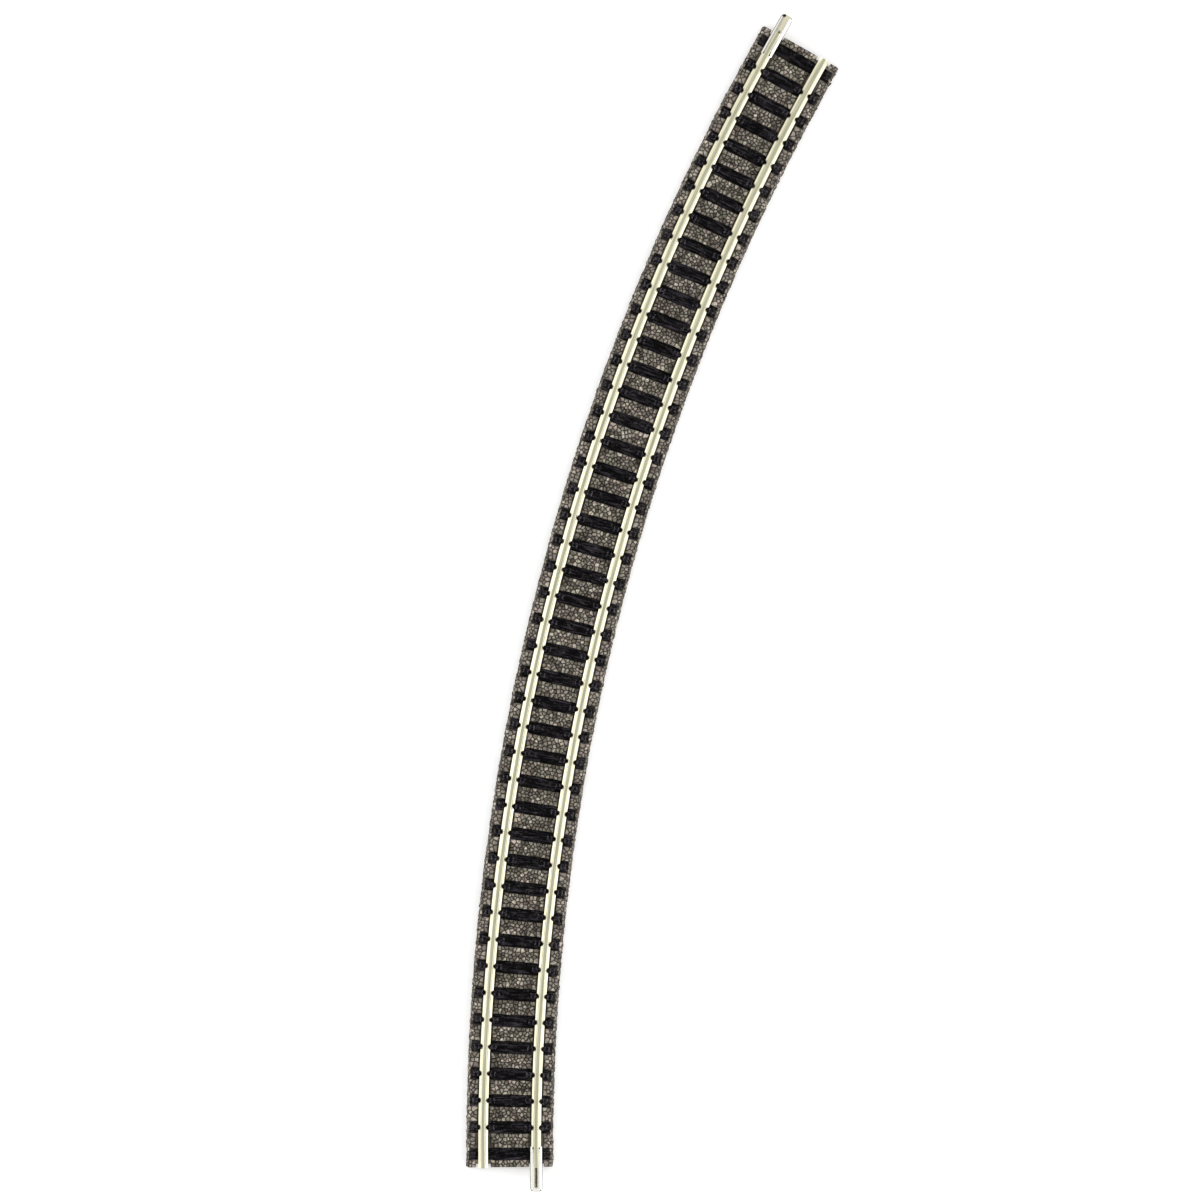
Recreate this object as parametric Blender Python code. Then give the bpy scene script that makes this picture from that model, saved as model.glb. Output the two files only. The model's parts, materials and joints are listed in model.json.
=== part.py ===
"""A curved section of 9 mm gauge model track on a moulded ballast bed.

The section is a 30 degree arc of 430 mm radius. A hollow ballast bed carries 44 sleepers in
pockets. Chairs moulded on the sleepers hold the feet of two rails. A folded metal joiner
slides on one rail at each end: on the inner rail at the start and on the outer rail at the
far end.

Frame: the origin is on the underside, below the track's centreline, halfway along the arc.
+Y runs along the track there, from the start to the far end, +X points at the centre of the
curve and +Z is up.
"""

import math

import bmesh
import bpy
from mathutils import Matrix, Vector

MM = 0.001

# The curve
CURVE_RADIUS = 430 * MM
CURVE_ANGLE = math.radians(30)
SLEEPER_COUNT = 44
CURVE_CENTRE = Vector((CURVE_RADIUS, 0, 0))
SLEEPER_STEP = CURVE_ANGLE / SLEEPER_COUNT
START_ANGLE = -CURVE_ANGLE / 2
FAR_ANGLE = CURVE_ANGLE / 2

# The rail section
RAIL_HEIGHT = 2.03 * MM
RAIL_FOOT_WIDTH = 1.85 * MM
RAIL_HEAD_WIDTH = 1.0 * MM
RAIL_WEB_WIDTH = 0.45 * MM
RAIL_FOOT_EDGE = 0.22 * MM
RAIL_FOOT_RISE = 0.20 * MM
RAIL_HEAD_DEPTH = 0.51 * MM
RAIL_HEAD_FLARE = 0.14 * MM
RAIL_HEAD_ROUNDING = 0.13 * MM
TRACK_GAUGE = 9.2 * MM
RAIL_OFFSET = (TRACK_GAUGE + RAIL_HEAD_WIDTH) / 2

# The ballast bed
BED_HEIGHT = 3.3 * MM
BED_BASE_WIDTH = 16.6 * MM
BED_TOP_WIDTH = 15.9 * MM
BED_PLINTH = 0.6 * MM
BED_DECK_UNDERSIDE = 1.5 * MM
BED_WALL = 1.2 * MM
BED_RIB = 1.4 * MM
BED_CELLS = 8
CELL_STEPS = 4
TROUGH_WIDTH = 2.3 * MM
TROUGH_FLOOR = 2.95 * MM
RECESS_WIDTH = 2.9 * MM
RECESS_LENGTH = 6.8 * MM

# The sleepers
SLEEPER_WIDTH = 2.2 * MM
SLEEPER_LENGTH = 15.3 * MM
SLEEPER_TOP = 3.5 * MM
SLEEPER_THICKNESS = 1.2 * MM
FIT_GAP = 0.03 * MM

# The chairs that hold the rail foot
CHAIR_WIDTH = 1.0 * MM
CHAIR_BACK = 2.22 * MM
CHAIR_SHOULDER = 1.40 * MM
CHAIR_RIDGE = 1.15 * MM
CHAIR_HEIGHT = 0.66 * MM
CHAIR_HEEL_HEIGHT = 0.32 * MM
CHAIR_NOSE_REACH = 0.38 * MM
CHAIR_NOSE_TIP = 0.14 * MM
CHAIR_NOSE_THICKNESS = 0.14 * MM
CHAIR_ROOT = 0.2 * MM

# The rail joiners
JOINER_LENGTH = 8.8 * MM
JOINER_SHEET = 0.22 * MM
JOINER_SIDE_GAP = 0.06 * MM
JOINER_SLOT = 0.8 * MM
JOINER_MITRE = 0.45 * MM
JOINER_HOLE_RADIUS = 0.2 * MM
JOINER_HOLE_PLACE = 2.0 * MM
JOINER_RELIEF = 0.3 * MM
START_JOINER_GRIP = 4.0 * MM
FAR_JOINER_GRIP = 4.8 * MM

RAIL_BOTTOM = SLEEPER_TOP + FIT_GAP
SLEEPER_BOTTOM = SLEEPER_TOP - SLEEPER_THICKNESS
CUT_OVERRUN = 1 * MM


def new_collection(name):
    collection = bpy.data.collections.new(name)
    bpy.context.scene.collection.children.link(collection)
    return collection


def clear_scene():
    for obj in list(bpy.data.objects):
        bpy.data.objects.remove(obj)


def principled(name, colour, roughness, metallic):
    material = bpy.data.materials.new(name)
    material.use_nodes = True
    shader = material.node_tree.nodes["Principled BSDF"]
    shader.inputs["Base Color"].default_value = (*colour, 1)
    shader.inputs["Roughness"].default_value = roughness
    shader.inputs["Metallic"].default_value = metallic
    return material


def station(angle):
    """The frame of the centreline at an angle along the arc: x to the curve's centre, y along the track."""
    return (
        Matrix.Translation(CURVE_CENTRE)
        @ Matrix.Rotation(-angle, 4, "Z")
        @ Matrix.Translation(-CURVE_CENTRE)
    )


def mesh_from(bm, name):
    bmesh.ops.recalc_face_normals(bm, faces=bm.faces)
    mesh = bpy.data.meshes.new(name)
    bm.to_mesh(mesh)
    bm.free()
    return mesh


def outline_face(bm, points):
    """A flat face through points given as (x, z) in the plane across the track."""
    return bm.faces.new([bm.verts.new((x, 0, z)) for x, z in points])


def add_sweep(bm, section, start, end, steps):
    """Adds a section swept round the curve's centre from one angle to another."""
    face = outline_face(bm, section)
    bmesh.ops.transform(bm, matrix=station(start), verts=face.verts)
    bmesh.ops.spin(
        bm,
        geom=[face, *face.edges, *face.verts],
        cent=CURVE_CENTRE,
        axis=(0, 0, -1),
        angle=end - start,
        steps=steps,
    )


def add_prism(bm, section, back, front):
    """Adds a section extruded along y."""
    face = outline_face(bm, section)
    bmesh.ops.translate(bm, verts=face.verts, vec=(0, back, 0))
    grown = bmesh.ops.extrude_face_region(bm, geom=[face])["geom"]
    verts = [item for item in grown if isinstance(item, bmesh.types.BMVert)]
    bmesh.ops.translate(bm, verts=verts, vec=(0, front - back, 0))
    return [*face.verts, *verts]


def add_box(bm, low, high, frame=None):
    """Adds a box between two corners, placed by a frame."""
    low, high = Vector(low), Vector(high)
    size = Matrix.Diagonal((*(high - low), 1))
    placed = Matrix.Translation((low + high) / 2) @ size
    bmesh.ops.create_cube(bm, size=1, matrix=(frame or Matrix()) @ placed)


def new_object(name, mesh, collection, material=None):
    obj = bpy.data.objects.new(name, mesh)
    collection.objects.link(obj)
    if material:
        mesh.materials.clear()
        mesh.materials.append(material)
    return obj


def new_cutter(name, bm, cutters):
    cutter = new_object(name, mesh_from(bm, name), cutters)
    cutter.hide_render = True
    cutter.display_type = "WIRE"
    return cutter


def add_boolean(obj, operation, other):
    modifier = obj.modifiers.new(f"{operation.lower()} {other.name}", "BOOLEAN")
    modifier.operation = operation
    modifier.object = other
    modifier.solver = "EXACT"


def evaluated_mesh(obj, name):
    bpy.context.view_layer.update()
    graph = bpy.context.evaluated_depsgraph_get()
    mesh = bpy.data.meshes.new_from_object(obj.evaluated_get(graph))
    mesh.name = name
    return mesh


def mirrored(half):
    """A closed outline from its right half, listed from the bottom up."""
    return half + [(-x, z) for x, z in reversed(half)]


def rail_section(centre):
    foot = RAIL_FOOT_WIDTH / 2
    web = RAIL_WEB_WIDTH / 2
    head = RAIL_HEAD_WIDTH / 2
    head_bottom = RAIL_HEIGHT - RAIL_HEAD_DEPTH
    half = [
        (foot, 0),
        (foot, RAIL_FOOT_EDGE),
        (web, RAIL_FOOT_EDGE + RAIL_FOOT_RISE),
        (web, head_bottom - RAIL_HEAD_FLARE),
        (head, head_bottom),
        (head, RAIL_HEIGHT - RAIL_HEAD_ROUNDING),
        (head - RAIL_HEAD_ROUNDING, RAIL_HEIGHT),
    ]
    return [(centre + x, RAIL_BOTTOM + z) for x, z in mirrored(half)]


def foot_top(x):
    """Height of the top of the rail foot, at a distance from the rail's middle."""
    slope = RAIL_FOOT_RISE / (RAIL_FOOT_WIDTH - RAIL_WEB_WIDTH) * 2
    return RAIL_BOTTOM + RAIL_FOOT_EDGE + (RAIL_FOOT_WIDTH / 2 - x) * slope


def make_rail(name, side, parts, metal):
    bm = bmesh.new()
    add_sweep(bm, rail_section(side * RAIL_OFFSET), START_ANGLE, FAR_ANGLE, SLEEPER_COUNT)
    rail = new_object(name, mesh_from(bm, name), parts, metal)
    rail.data.shade_smooth()
    rail.data.set_sharp_from_angle(angle=math.radians(30))


def bed_section():
    half = [
        (BED_BASE_WIDTH / 2, 0),
        (BED_BASE_WIDTH / 2, BED_PLINTH),
        (BED_TOP_WIDTH / 2, BED_HEIGHT),
    ]
    return mirrored(half)


def cell_cutter(cutters):
    """The hollows under the deck, with a rib between each two."""
    bm = bmesh.new()
    half = BED_BASE_WIDTH / 2 - BED_WALL
    section = mirrored([(half, -CUT_OVERRUN), (half, BED_DECK_UNDERSIDE)])
    rib = BED_RIB / CURVE_RADIUS
    pitch = (CURVE_ANGLE - rib) / BED_CELLS
    for cell in range(BED_CELLS):
        start = START_ANGLE + rib + cell * pitch
        add_sweep(bm, section, start, start + pitch - rib, CELL_STEPS)
    return new_cutter("cells_under_deck", bm, cutters)


def pocket_cutter(cutters):
    """The pockets that the sleepers sit in."""
    bm = bmesh.new()
    x = SLEEPER_LENGTH / 2 + FIT_GAP
    y = SLEEPER_WIDTH / 2 + FIT_GAP
    for number in range(SLEEPER_COUNT):
        low = (-x, -y, SLEEPER_BOTTOM - FIT_GAP)
        add_box(bm, low, (x, y, SLEEPER_TOP), station(sleeper_angle(number)))
    return new_cutter("sleeper_pockets", bm, cutters)


def trough_cutter(cutters):
    """The channel that runs below each rail."""
    bm = bmesh.new()
    overrun = SLEEPER_STEP
    for side in (-1, 1):
        left = side * RAIL_OFFSET - TROUGH_WIDTH / 2
        right = left + TROUGH_WIDTH
        section = [
            (left, TROUGH_FLOOR),
            (right, TROUGH_FLOOR),
            (right, SLEEPER_TOP),
            (left, SLEEPER_TOP),
        ]
        start, end = START_ANGLE - overrun, FAR_ANGLE + overrun
        add_sweep(bm, section, start, end, SLEEPER_COUNT + 2)
    return new_cutter("rail_troughs", bm, cutters)


def recess_cutter(cutters):
    """The wider recesses round the four rail ends, which leave room for a joiner."""
    bm = bmesh.new()
    reach = CURVE_RADIUS * math.tan(SLEEPER_STEP / 2)
    for end in (-1, 1):
        frame = station(end * (FAR_ANGLE - SLEEPER_STEP / 2))
        back, front = sorted((end * (reach - RECESS_LENGTH), end * (reach + CUT_OVERRUN)))
        for side in (-1, 1):
            left = side * RAIL_OFFSET - RECESS_WIDTH / 2
            low = (left, back, TROUGH_FLOOR)
            add_box(bm, low, (left + RECESS_WIDTH, front, BED_HEIGHT + CUT_OVERRUN), frame)
    return new_cutter("joiner_recesses", bm, cutters)


def make_bed(parts, cutters, recesses, stone):
    bm = bmesh.new()
    add_sweep(bm, bed_section(), START_ANGLE, FAR_ANGLE, SLEEPER_COUNT)
    bed = new_object("ballast_bed", mesh_from(bm, "ballast_bed"), parts, stone)
    cuts = (cell_cutter(cutters), pocket_cutter(cutters), trough_cutter(cutters), recesses)
    for cutter in cuts:
        add_boolean(bed, "DIFFERENCE", cutter)


def sleeper_angle(number):
    return START_ANGLE + (number + 0.5) * SLEEPER_STEP


def sleeper_block(name, cutters):
    """A bare sleeper, kept with the helpers as the pattern that the others are made from."""
    bm = bmesh.new()
    x, y = SLEEPER_LENGTH / 2, SLEEPER_WIDTH / 2
    add_box(bm, (-x, -y, SLEEPER_BOTTOM), (x, y, SLEEPER_TOP))
    return new_cutter(name, bm, cutters)


def chair_profile():
    """The chair seen along the track: x is the distance from the rail's middle, z the height."""
    foot = RAIL_FOOT_WIDTH / 2
    tip = foot - CHAIR_NOSE_REACH
    neck = foot + 2 * FIT_GAP
    nose = foot_top(tip) + 2 * FIT_GAP
    return [
        (neck, SLEEPER_TOP - CHAIR_ROOT),
        (CHAIR_BACK, SLEEPER_TOP - CHAIR_ROOT),
        (CHAIR_BACK, SLEEPER_TOP + FIT_GAP),
        (CHAIR_BACK - CHAIR_HEEL_HEIGHT, SLEEPER_TOP + CHAIR_HEEL_HEIGHT),
        (CHAIR_SHOULDER, SLEEPER_TOP + CHAIR_HEEL_HEIGHT),
        (CHAIR_RIDGE, SLEEPER_TOP + CHAIR_HEIGHT),
        (tip, nose + CHAIR_NOSE_THICKNESS),
        (tip, nose),
        (neck, foot_top(foot) + FIT_GAP),
    ]


def trim(bm, point, normal):
    """Cuts away what lies beyond a plane and closes the cut."""
    geometry = [*bm.verts, *bm.edges, *bm.faces]
    cut = bmesh.ops.bisect_plane(
        bm, geom=geometry, dist=1e-8, plane_co=point, plane_no=normal, clear_outer=True
    )
    edges = [item for item in cut["geom_cut"] if isinstance(item, bmesh.types.BMEdge)]
    bmesh.ops.contextual_create(bm, geom=edges)


def chair(name, rail_side, chair_side, cutters):
    """One chair: the profile extruded along the track, with its nose trimmed to a point in plan."""
    bm = bmesh.new()
    add_prism(bm, chair_profile(), -CHAIR_WIDTH / 2, CHAIR_WIDTH / 2)
    foot = RAIL_FOOT_WIDTH / 2
    cheek = Vector((foot, CHAIR_WIDTH / 2, 0))
    run = Vector((-CHAIR_NOSE_REACH, (CHAIR_NOSE_TIP - CHAIR_WIDTH) / 2, 0))
    for side in (-1, 1):
        mirror = Matrix.Diagonal((1, side, 1))
        outward = Vector((run.y, -run.x, 0))
        trim(bm, mirror @ cheek, mirror @ outward)
    turn = Matrix.Diagonal((chair_side, 1, 1, 1))
    place = Matrix.Translation((rail_side * RAIL_OFFSET, 0, 0))
    bmesh.ops.transform(bm, matrix=place @ turn, verts=bm.verts)
    return new_cutter(name, bm, cutters)


def chaired_sleeper_mesh(cutters):
    """The sleeper with a chair on each side of each rail."""
    block = sleeper_block("sleeper_pattern", cutters)
    for rail_name, rail_side in (("outer", -1), ("inner", 1)):
        for chair_name, chair_side in (("left", -1), ("right", 1)):
            name = f"chair_{rail_name}_{chair_name}"
            add_boolean(block, "UNION", chair(name, rail_side, chair_side, cutters))
    return evaluated_mesh(block, "chaired_sleeper")


def end_sleeper_mesh(end, recesses, cutters):
    """The plain sleeper at an end, notched where a joiner passes over it."""
    number = 0 if end < 0 else SLEEPER_COUNT - 1
    block = sleeper_block(f"end_sleeper_pattern_{number}", cutters)
    block.matrix_world = station(sleeper_angle(number))
    add_boolean(block, "DIFFERENCE", recesses)
    return evaluated_mesh(block, f"end_sleeper_{number}")


def make_sleepers(parts, cutters, recesses, plastic):
    chaired = chaired_sleeper_mesh(cutters)
    last = SLEEPER_COUNT - 1
    plain = {0: end_sleeper_mesh(-1, recesses, cutters), last: end_sleeper_mesh(1, recesses, cutters)}
    for number in range(SLEEPER_COUNT):
        mesh = plain.get(number, chaired)
        sleeper = new_object(f"sleeper_{number + 1:02d}", mesh, parts, plastic)
        sleeper.matrix_world = station(sleeper_angle(number))


def joiner_section():
    """The folded sheet seen along the rail, with z from the underside of the rail foot."""
    inside = RAIL_FOOT_WIDTH / 2 + JOINER_SIDE_GAP
    outside = inside + JOINER_SHEET
    lip = JOINER_SLOT / 2
    edge = foot_top(inside) - RAIL_BOTTOM + 2 * FIT_GAP
    inner = foot_top(lip) - RAIL_BOTTOM + 2 * FIT_GAP
    right = [
        (outside, -FIT_GAP - JOINER_SHEET),
        (outside, edge + JOINER_SHEET),
        (lip, inner + JOINER_SHEET),
        (lip, inner),
        (inside, edge),
        (inside, -FIT_GAP),
    ]
    return mirrored(right)


def joiner_hole_cutter(name, cutters):
    """A round stop hole in the floor, in the half that takes the next rail."""
    bm = bmesh.new()
    bmesh.ops.create_cone(
        bm,
        cap_ends=True,
        segments=12,
        radius1=JOINER_HOLE_RADIUS,
        radius2=JOINER_HOLE_RADIUS,
        depth=4 * JOINER_SHEET,
        matrix=Matrix.Translation((0, JOINER_HOLE_PLACE, -FIT_GAP - JOINER_SHEET / 2)),
    )
    return new_cutter(name, bm, cutters)


def joiner_mitre_cutter(name, grip, cutters):
    """Wedges that mitre the lips at the mouth, and notches that relieve their inner corners."""
    bm = bmesh.new()
    outside = RAIL_FOOT_WIDTH / 2 + JOINER_SIDE_GAP + JOINER_SHEET
    mouth = JOINER_LENGTH - grip
    corner = outside - JOINER_SHEET - JOINER_RELIEF
    for side in (-1, 1):
        wedge = [
            bm.verts.new((side * x, y, 0))
            for x, y in (
                (0, mouth - JOINER_MITRE),
                (JOINER_SLOT / 2, mouth - JOINER_MITRE),
                (outside, mouth + JOINER_SHEET / 4),
                (outside, mouth + JOINER_SHEET),
                (0, mouth + JOINER_SHEET),
            )
        ]
        grown = bmesh.ops.extrude_face_region(bm, geom=[bm.faces.new(wedge)])["geom"]
        top = [item for item in grown if isinstance(item, bmesh.types.BMVert)]
        bmesh.ops.translate(bm, verts=top, vec=(0, 0, RAIL_HEIGHT))
        low = (min(side * corner, side * (corner + JOINER_RELIEF)), -grip - JOINER_SHEET, 0)
        high = (low[0] + JOINER_RELIEF, -grip + JOINER_RELIEF, RAIL_HEIGHT)
        add_box(bm, low, high)
    return new_cutter(name, bm, cutters)


def make_joiner(name, end, side, grip, parts, cutters, metal):
    """A joiner at the end of a rail. Its origin is the rail's end and its +y leaves the track."""
    bm = bmesh.new()
    add_prism(bm, joiner_section(), -grip, JOINER_LENGTH - grip)
    joiner = new_object(name, mesh_from(bm, name), parts, metal)
    rail_end = station(end * FAR_ANGLE) @ Vector((side * RAIL_OFFSET, 0, RAIL_BOTTOM))
    chord_angle = end * (FAR_ANGLE - SLEEPER_STEP / 2)
    turn = -chord_angle if end > 0 else math.pi - chord_angle
    joiner.location = rail_end
    joiner.rotation_euler.z = turn
    hole = joiner_hole_cutter(f"{name}_hole", cutters)
    mitre = joiner_mitre_cutter(f"{name}_mitre", grip, cutters)
    for cutter in (hole, mitre):
        cutter.parent = joiner
        add_boolean(joiner, "DIFFERENCE", cutter)


def main():
    clear_scene()
    parts = new_collection("curved_track_section")
    cutters = new_collection("cutters")
    stone = principled("ballast_grey", (0.17, 0.14, 0.12), 0.9, 0)
    plastic = principled("sleeper_black", (0.010, 0.009, 0.012), 0.55, 0)
    nickel = principled("rail_nickel_silver", (0.80, 0.76, 0.60), 0.3, 1)
    steel = principled("joiner_plated", (0.86, 0.85, 0.80), 0.25, 1)
    recesses = recess_cutter(cutters)
    make_bed(parts, cutters, recesses, stone)
    make_sleepers(parts, cutters, recesses, plastic)
    make_rail("outer_rail", -1, parts, nickel)
    make_rail("inner_rail", 1, parts, nickel)
    make_joiner("rail_joiner_start", -1, 1, START_JOINER_GRIP, parts, cutters, steel)
    make_joiner("rail_joiner_far", 1, -1, FAR_JOINER_GRIP, parts, cutters, steel)


main()
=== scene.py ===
"""The finished look of the curved track section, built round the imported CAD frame.

The ballast bed gets moulded stones, the sleepers wood grain and rounded chairs, the rails a
drawn section and the joiners a folded sheet with real bends. Every piece is placed in the same
frame as the CAD: the origin under the middle of the arc, +Y along the track, +X to the curve's
centre.
"""

import json
import math
import random

import bmesh
import bpy
import numpy as np
from mathutils import Matrix, Vector, geometry, kdtree, noise


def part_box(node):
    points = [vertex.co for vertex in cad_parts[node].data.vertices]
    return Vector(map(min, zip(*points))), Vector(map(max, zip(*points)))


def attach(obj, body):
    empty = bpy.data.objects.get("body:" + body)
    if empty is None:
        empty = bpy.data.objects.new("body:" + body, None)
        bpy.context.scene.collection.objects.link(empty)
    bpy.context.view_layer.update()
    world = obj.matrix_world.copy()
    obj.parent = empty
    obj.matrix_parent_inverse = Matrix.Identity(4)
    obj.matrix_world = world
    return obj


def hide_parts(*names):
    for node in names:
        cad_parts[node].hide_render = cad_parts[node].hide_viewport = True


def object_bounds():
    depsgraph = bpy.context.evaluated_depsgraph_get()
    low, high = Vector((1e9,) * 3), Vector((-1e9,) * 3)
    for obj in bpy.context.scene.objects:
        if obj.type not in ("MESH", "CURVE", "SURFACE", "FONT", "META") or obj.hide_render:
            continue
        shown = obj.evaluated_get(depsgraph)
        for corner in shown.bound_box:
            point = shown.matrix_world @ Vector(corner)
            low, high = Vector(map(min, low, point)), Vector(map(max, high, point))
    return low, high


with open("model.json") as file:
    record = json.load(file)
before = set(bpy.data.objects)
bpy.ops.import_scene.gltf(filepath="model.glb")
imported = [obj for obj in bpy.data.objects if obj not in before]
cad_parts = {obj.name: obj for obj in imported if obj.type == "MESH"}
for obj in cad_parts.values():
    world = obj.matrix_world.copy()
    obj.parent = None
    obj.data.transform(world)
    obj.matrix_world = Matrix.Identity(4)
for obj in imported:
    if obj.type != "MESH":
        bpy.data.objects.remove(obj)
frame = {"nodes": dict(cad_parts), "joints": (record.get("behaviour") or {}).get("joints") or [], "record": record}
cad_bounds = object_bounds()

# Lengths are in metres. Points within SNAP of the bed's edge are on it, and BEYOND is a place
# past the whole track.
MM = 0.001
SNAP = 1e-6
BEYOND = 1.0


# ---- sizes read from the frame


def mount(name):
    """The place and the direction of one of the record's mounts."""
    found = next(m for m in frame["record"]["mounts"] if m["name"] == name)
    return Vector(found["pos_m"]), Vector(found["axis"])


def station(angle):
    """The frame of a place on the centreline: x to the curve's centre, y along the track."""
    return (
        Matrix.Translation(CURVE_CENTRE)
        @ Matrix.Rotation(-angle, 4, "Z")
        @ Matrix.Translation(-CURVE_CENTRE)
    )


def local_box(node, angle):
    """The lowest and highest corners of a CAD node in the frame of a place along the arc."""
    inverse = station(angle).inverted()
    corners = [inverse @ vert.co for vert in frame["nodes"][node].data.vertices]
    low = [min(corner[axis] for corner in corners) for axis in range(3)]
    high = [max(corner[axis] for corner in corners) for axis in range(3)]
    return Vector(low), Vector(high)


BED_END, BED_END_AXIS = mount("far_bed_end")
FAR_ANGLE = math.asin(BED_END_AXIS.x)
CURVE_RADIUS = BED_END.y / math.sin(FAR_ANGLE)
CURVE_CENTRE = Vector((CURVE_RADIUS, 0, 0))
TRACK_LENGTH = 2 * FAR_ANGLE * CURVE_RADIUS

SLEEPER_COUNT = sum(name.startswith("sleeper_") for name in frame["nodes"])
SLEEPER_STEP = 2 * FAR_ANGLE / SLEEPER_COUNT
PITCH = SLEEPER_STEP * CURVE_RADIUS


def sleeper_angle(number):
    return (number + 0.5) * SLEEPER_STEP - FAR_ANGLE


SLEEPER_LOW, SLEEPER_HIGH = local_box("sleeper_01", sleeper_angle(0))
SLEEPER_HALF_LENGTH = SLEEPER_HIGH.x
SLEEPER_HALF_WIDTH = SLEEPER_HIGH.y
SLEEPER_TOP = SLEEPER_HIGH.z
SLEEPER_BOTTOM = SLEEPER_LOW.z

RAIL_OFFSET = (CURVE_CENTRE - mount("outer_rail_top")[0].xy.to_3d()).length - CURVE_RADIUS
RAIL_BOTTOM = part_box("outer_rail")[0].z
RAIL_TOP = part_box("outer_rail")[1].z
BED_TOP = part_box("ballast_bed")[1].z

# ---- sizes of the details

# The rail section
RAIL_FOOT = 0.925 * MM
RAIL_HEAD = 0.5 * MM
RAIL_WEB = 0.225 * MM
RAIL_FOOT_EDGE = 0.22 * MM
RAIL_FOOT_RISE = 0.20 * MM
RAIL_HEAD_DEPTH = 0.51 * MM
RAIL_HEAD_FLARE = 0.14 * MM
RAIL_ROUNDING = 0.05 * MM
RAIL_CROWN_ROUNDING = 0.24 * MM
RAIL_STEPS = 176
RAIL_BURR = 0.04 * MM
RAIL_END_SCALE = 0.965
RAIL_SHARP_ANGLE = math.radians(40)

# The ballast bed's outline, with half widths
BED_BASE = 8.3 * MM
BED_CREST = 7.95 * MM
BED_PLINTH = 0.6 * MM
CREST_ROUNDING = 0.45 * MM
CREST_STEPS = 6
STONE_LEVEL = BED_TOP - 0.09 * MM

# What is cut out of the bed
FIT_GAP = 0.03 * MM
TROUGH_HALF = 1.15 * MM
TROUGH_FLOOR = 2.95 * MM
RECESS_HALF = 1.45 * MM
RECESS_LENGTH = 6.8 * MM
DECK_UNDERSIDE = 1.5 * MM
BED_WALL = 1.2 * MM
BED_RIB = 1.4 * MM
END_NOTCH = 0.7 * MM
END_SKIN = 0.005 * MM
BED_CELLS = 8
CELL_STEPS = 12

# The stones
STONE_SMALLEST = 0.46 * MM
STONE_LARGEST = 0.64 * MM
STONE_CLEAR = 0.24 * MM
STONE_THROWS = 120000
STONE_SEED = 7
CREVICE = 0.20 * MM
CREVICE_RIM = 0.03 * MM
CREVICE_SHADE = 0.3 * MM
BARE_FADE = 0.1 * MM
MIRROR_REACH = 0.8 * MM
BORDER_REACH = 3 * MM
CELL_TOLERANCE = 1e-6
FLAT_TRIANGLE = 1e-18
WELD = 0.0005 * MM

# One stone's shape, with its lengths in millimetres. The shares are of its cell's size.
SHOULDER_INSET = 0.07
SHOULDER_SHARES = (0.5, 0.93)
STONE_RISE = (-0.01, 0.13)
SHOULDER_DROP = (0.03, 0.10)
CROWN_SHIFT = 0.08
CROWN_SHARES = (0.42, 0.66)
STONE_TILT = 0.12

# The sleepers. BATCH_STEP is how far apart in the noise their colours are taken.
GRAIN_STEPS = 64
GRAIN_LANES = 15
GRAIN_MARGIN_ROUNDINGS = 1.3
GRAIN_DEPTH = 0.08 * MM
SIDE_GRAIN_SEED = 50
SIDE_GRAIN_SHARE = 0.5
SLEEPER_ROUNDING = 0.13 * MM
SLEEPER_END_STEPS = 4
SLEEPER_SHARP_ANGLE = math.radians(38)
BATCH_STEP = 3.7

# The wood grain's pattern, with scales per millimetre along and across the sleeper
GRAIN_LEVEL = 0.42
STREAK_SHARE = 0.55
FIBRE_SHARE = 0.35
STREAK_SCALE = (0.16, 2.1)
FIBRE_SCALE = (0.45, 5.2)
CRACK_SCALE = (0.1, 1.5)
CRACK_WIDTH = 0.035
CRACK_DEPTH = 0.9

# The chairs
CHAIR_HALF_WIDTH = 0.5 * MM
CHAIR_BACK = 2.22 * MM
CHAIR_SHOULDER = 1.40 * MM
CHAIR_RIDGE = 1.15 * MM
CHAIR_HEIGHT = 0.66 * MM
CHAIR_HEEL = 0.32 * MM
NOSE_REACH = 0.38 * MM
NOSE_TIP = 0.07 * MM
NOSE_THICKNESS = 0.14 * MM
CHAIR_ROOT = 0.2 * MM
CHAIR_BEVEL = 0.05 * MM
CHAIR_EDGE_ANGLE = math.radians(20)
TRIM_TOLERANCE = 1e-8

# The joiners
JOINER_SHEET = 0.22 * MM
JOINER_INSIDE = 0.985 * MM
JOINER_SLOT = 0.4 * MM
JOINER_BEND = 0.16 * MM
JOINER_LIP_BEND_SHARE = 0.85
JOINER_LIP_CORNER = 0.7 * MM
JOINER_LIP_SETBACK = 0.2 * MM
JOINER_FLOOR_CORNER = 0.9 * MM
JOINER_DIMPLE = 0.2 * MM
JOINER_DIMPLE_PLACE = 2.0 * MM
JOINER_RELIEF = 0.17 * MM
JOINER_RELIEF_PLACE = 0.3 * MM
JOINER_RELIEF_INSET = 1.2
PIT_TOLERANCE = 1.05
JOINER_SHARP_ANGLE = math.radians(35)

# Where the joiner has points: across its floor as shares of the slot's half width, and along it
# as shares of its length
JOINER_FLOOR_LANES = (0.4, 0.9, 1.3, 1.7)
JOINER_ROWS = (0, *np.linspace(0.05, 0.8, 9), *np.linspace(0.84, 1, 8))

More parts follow.
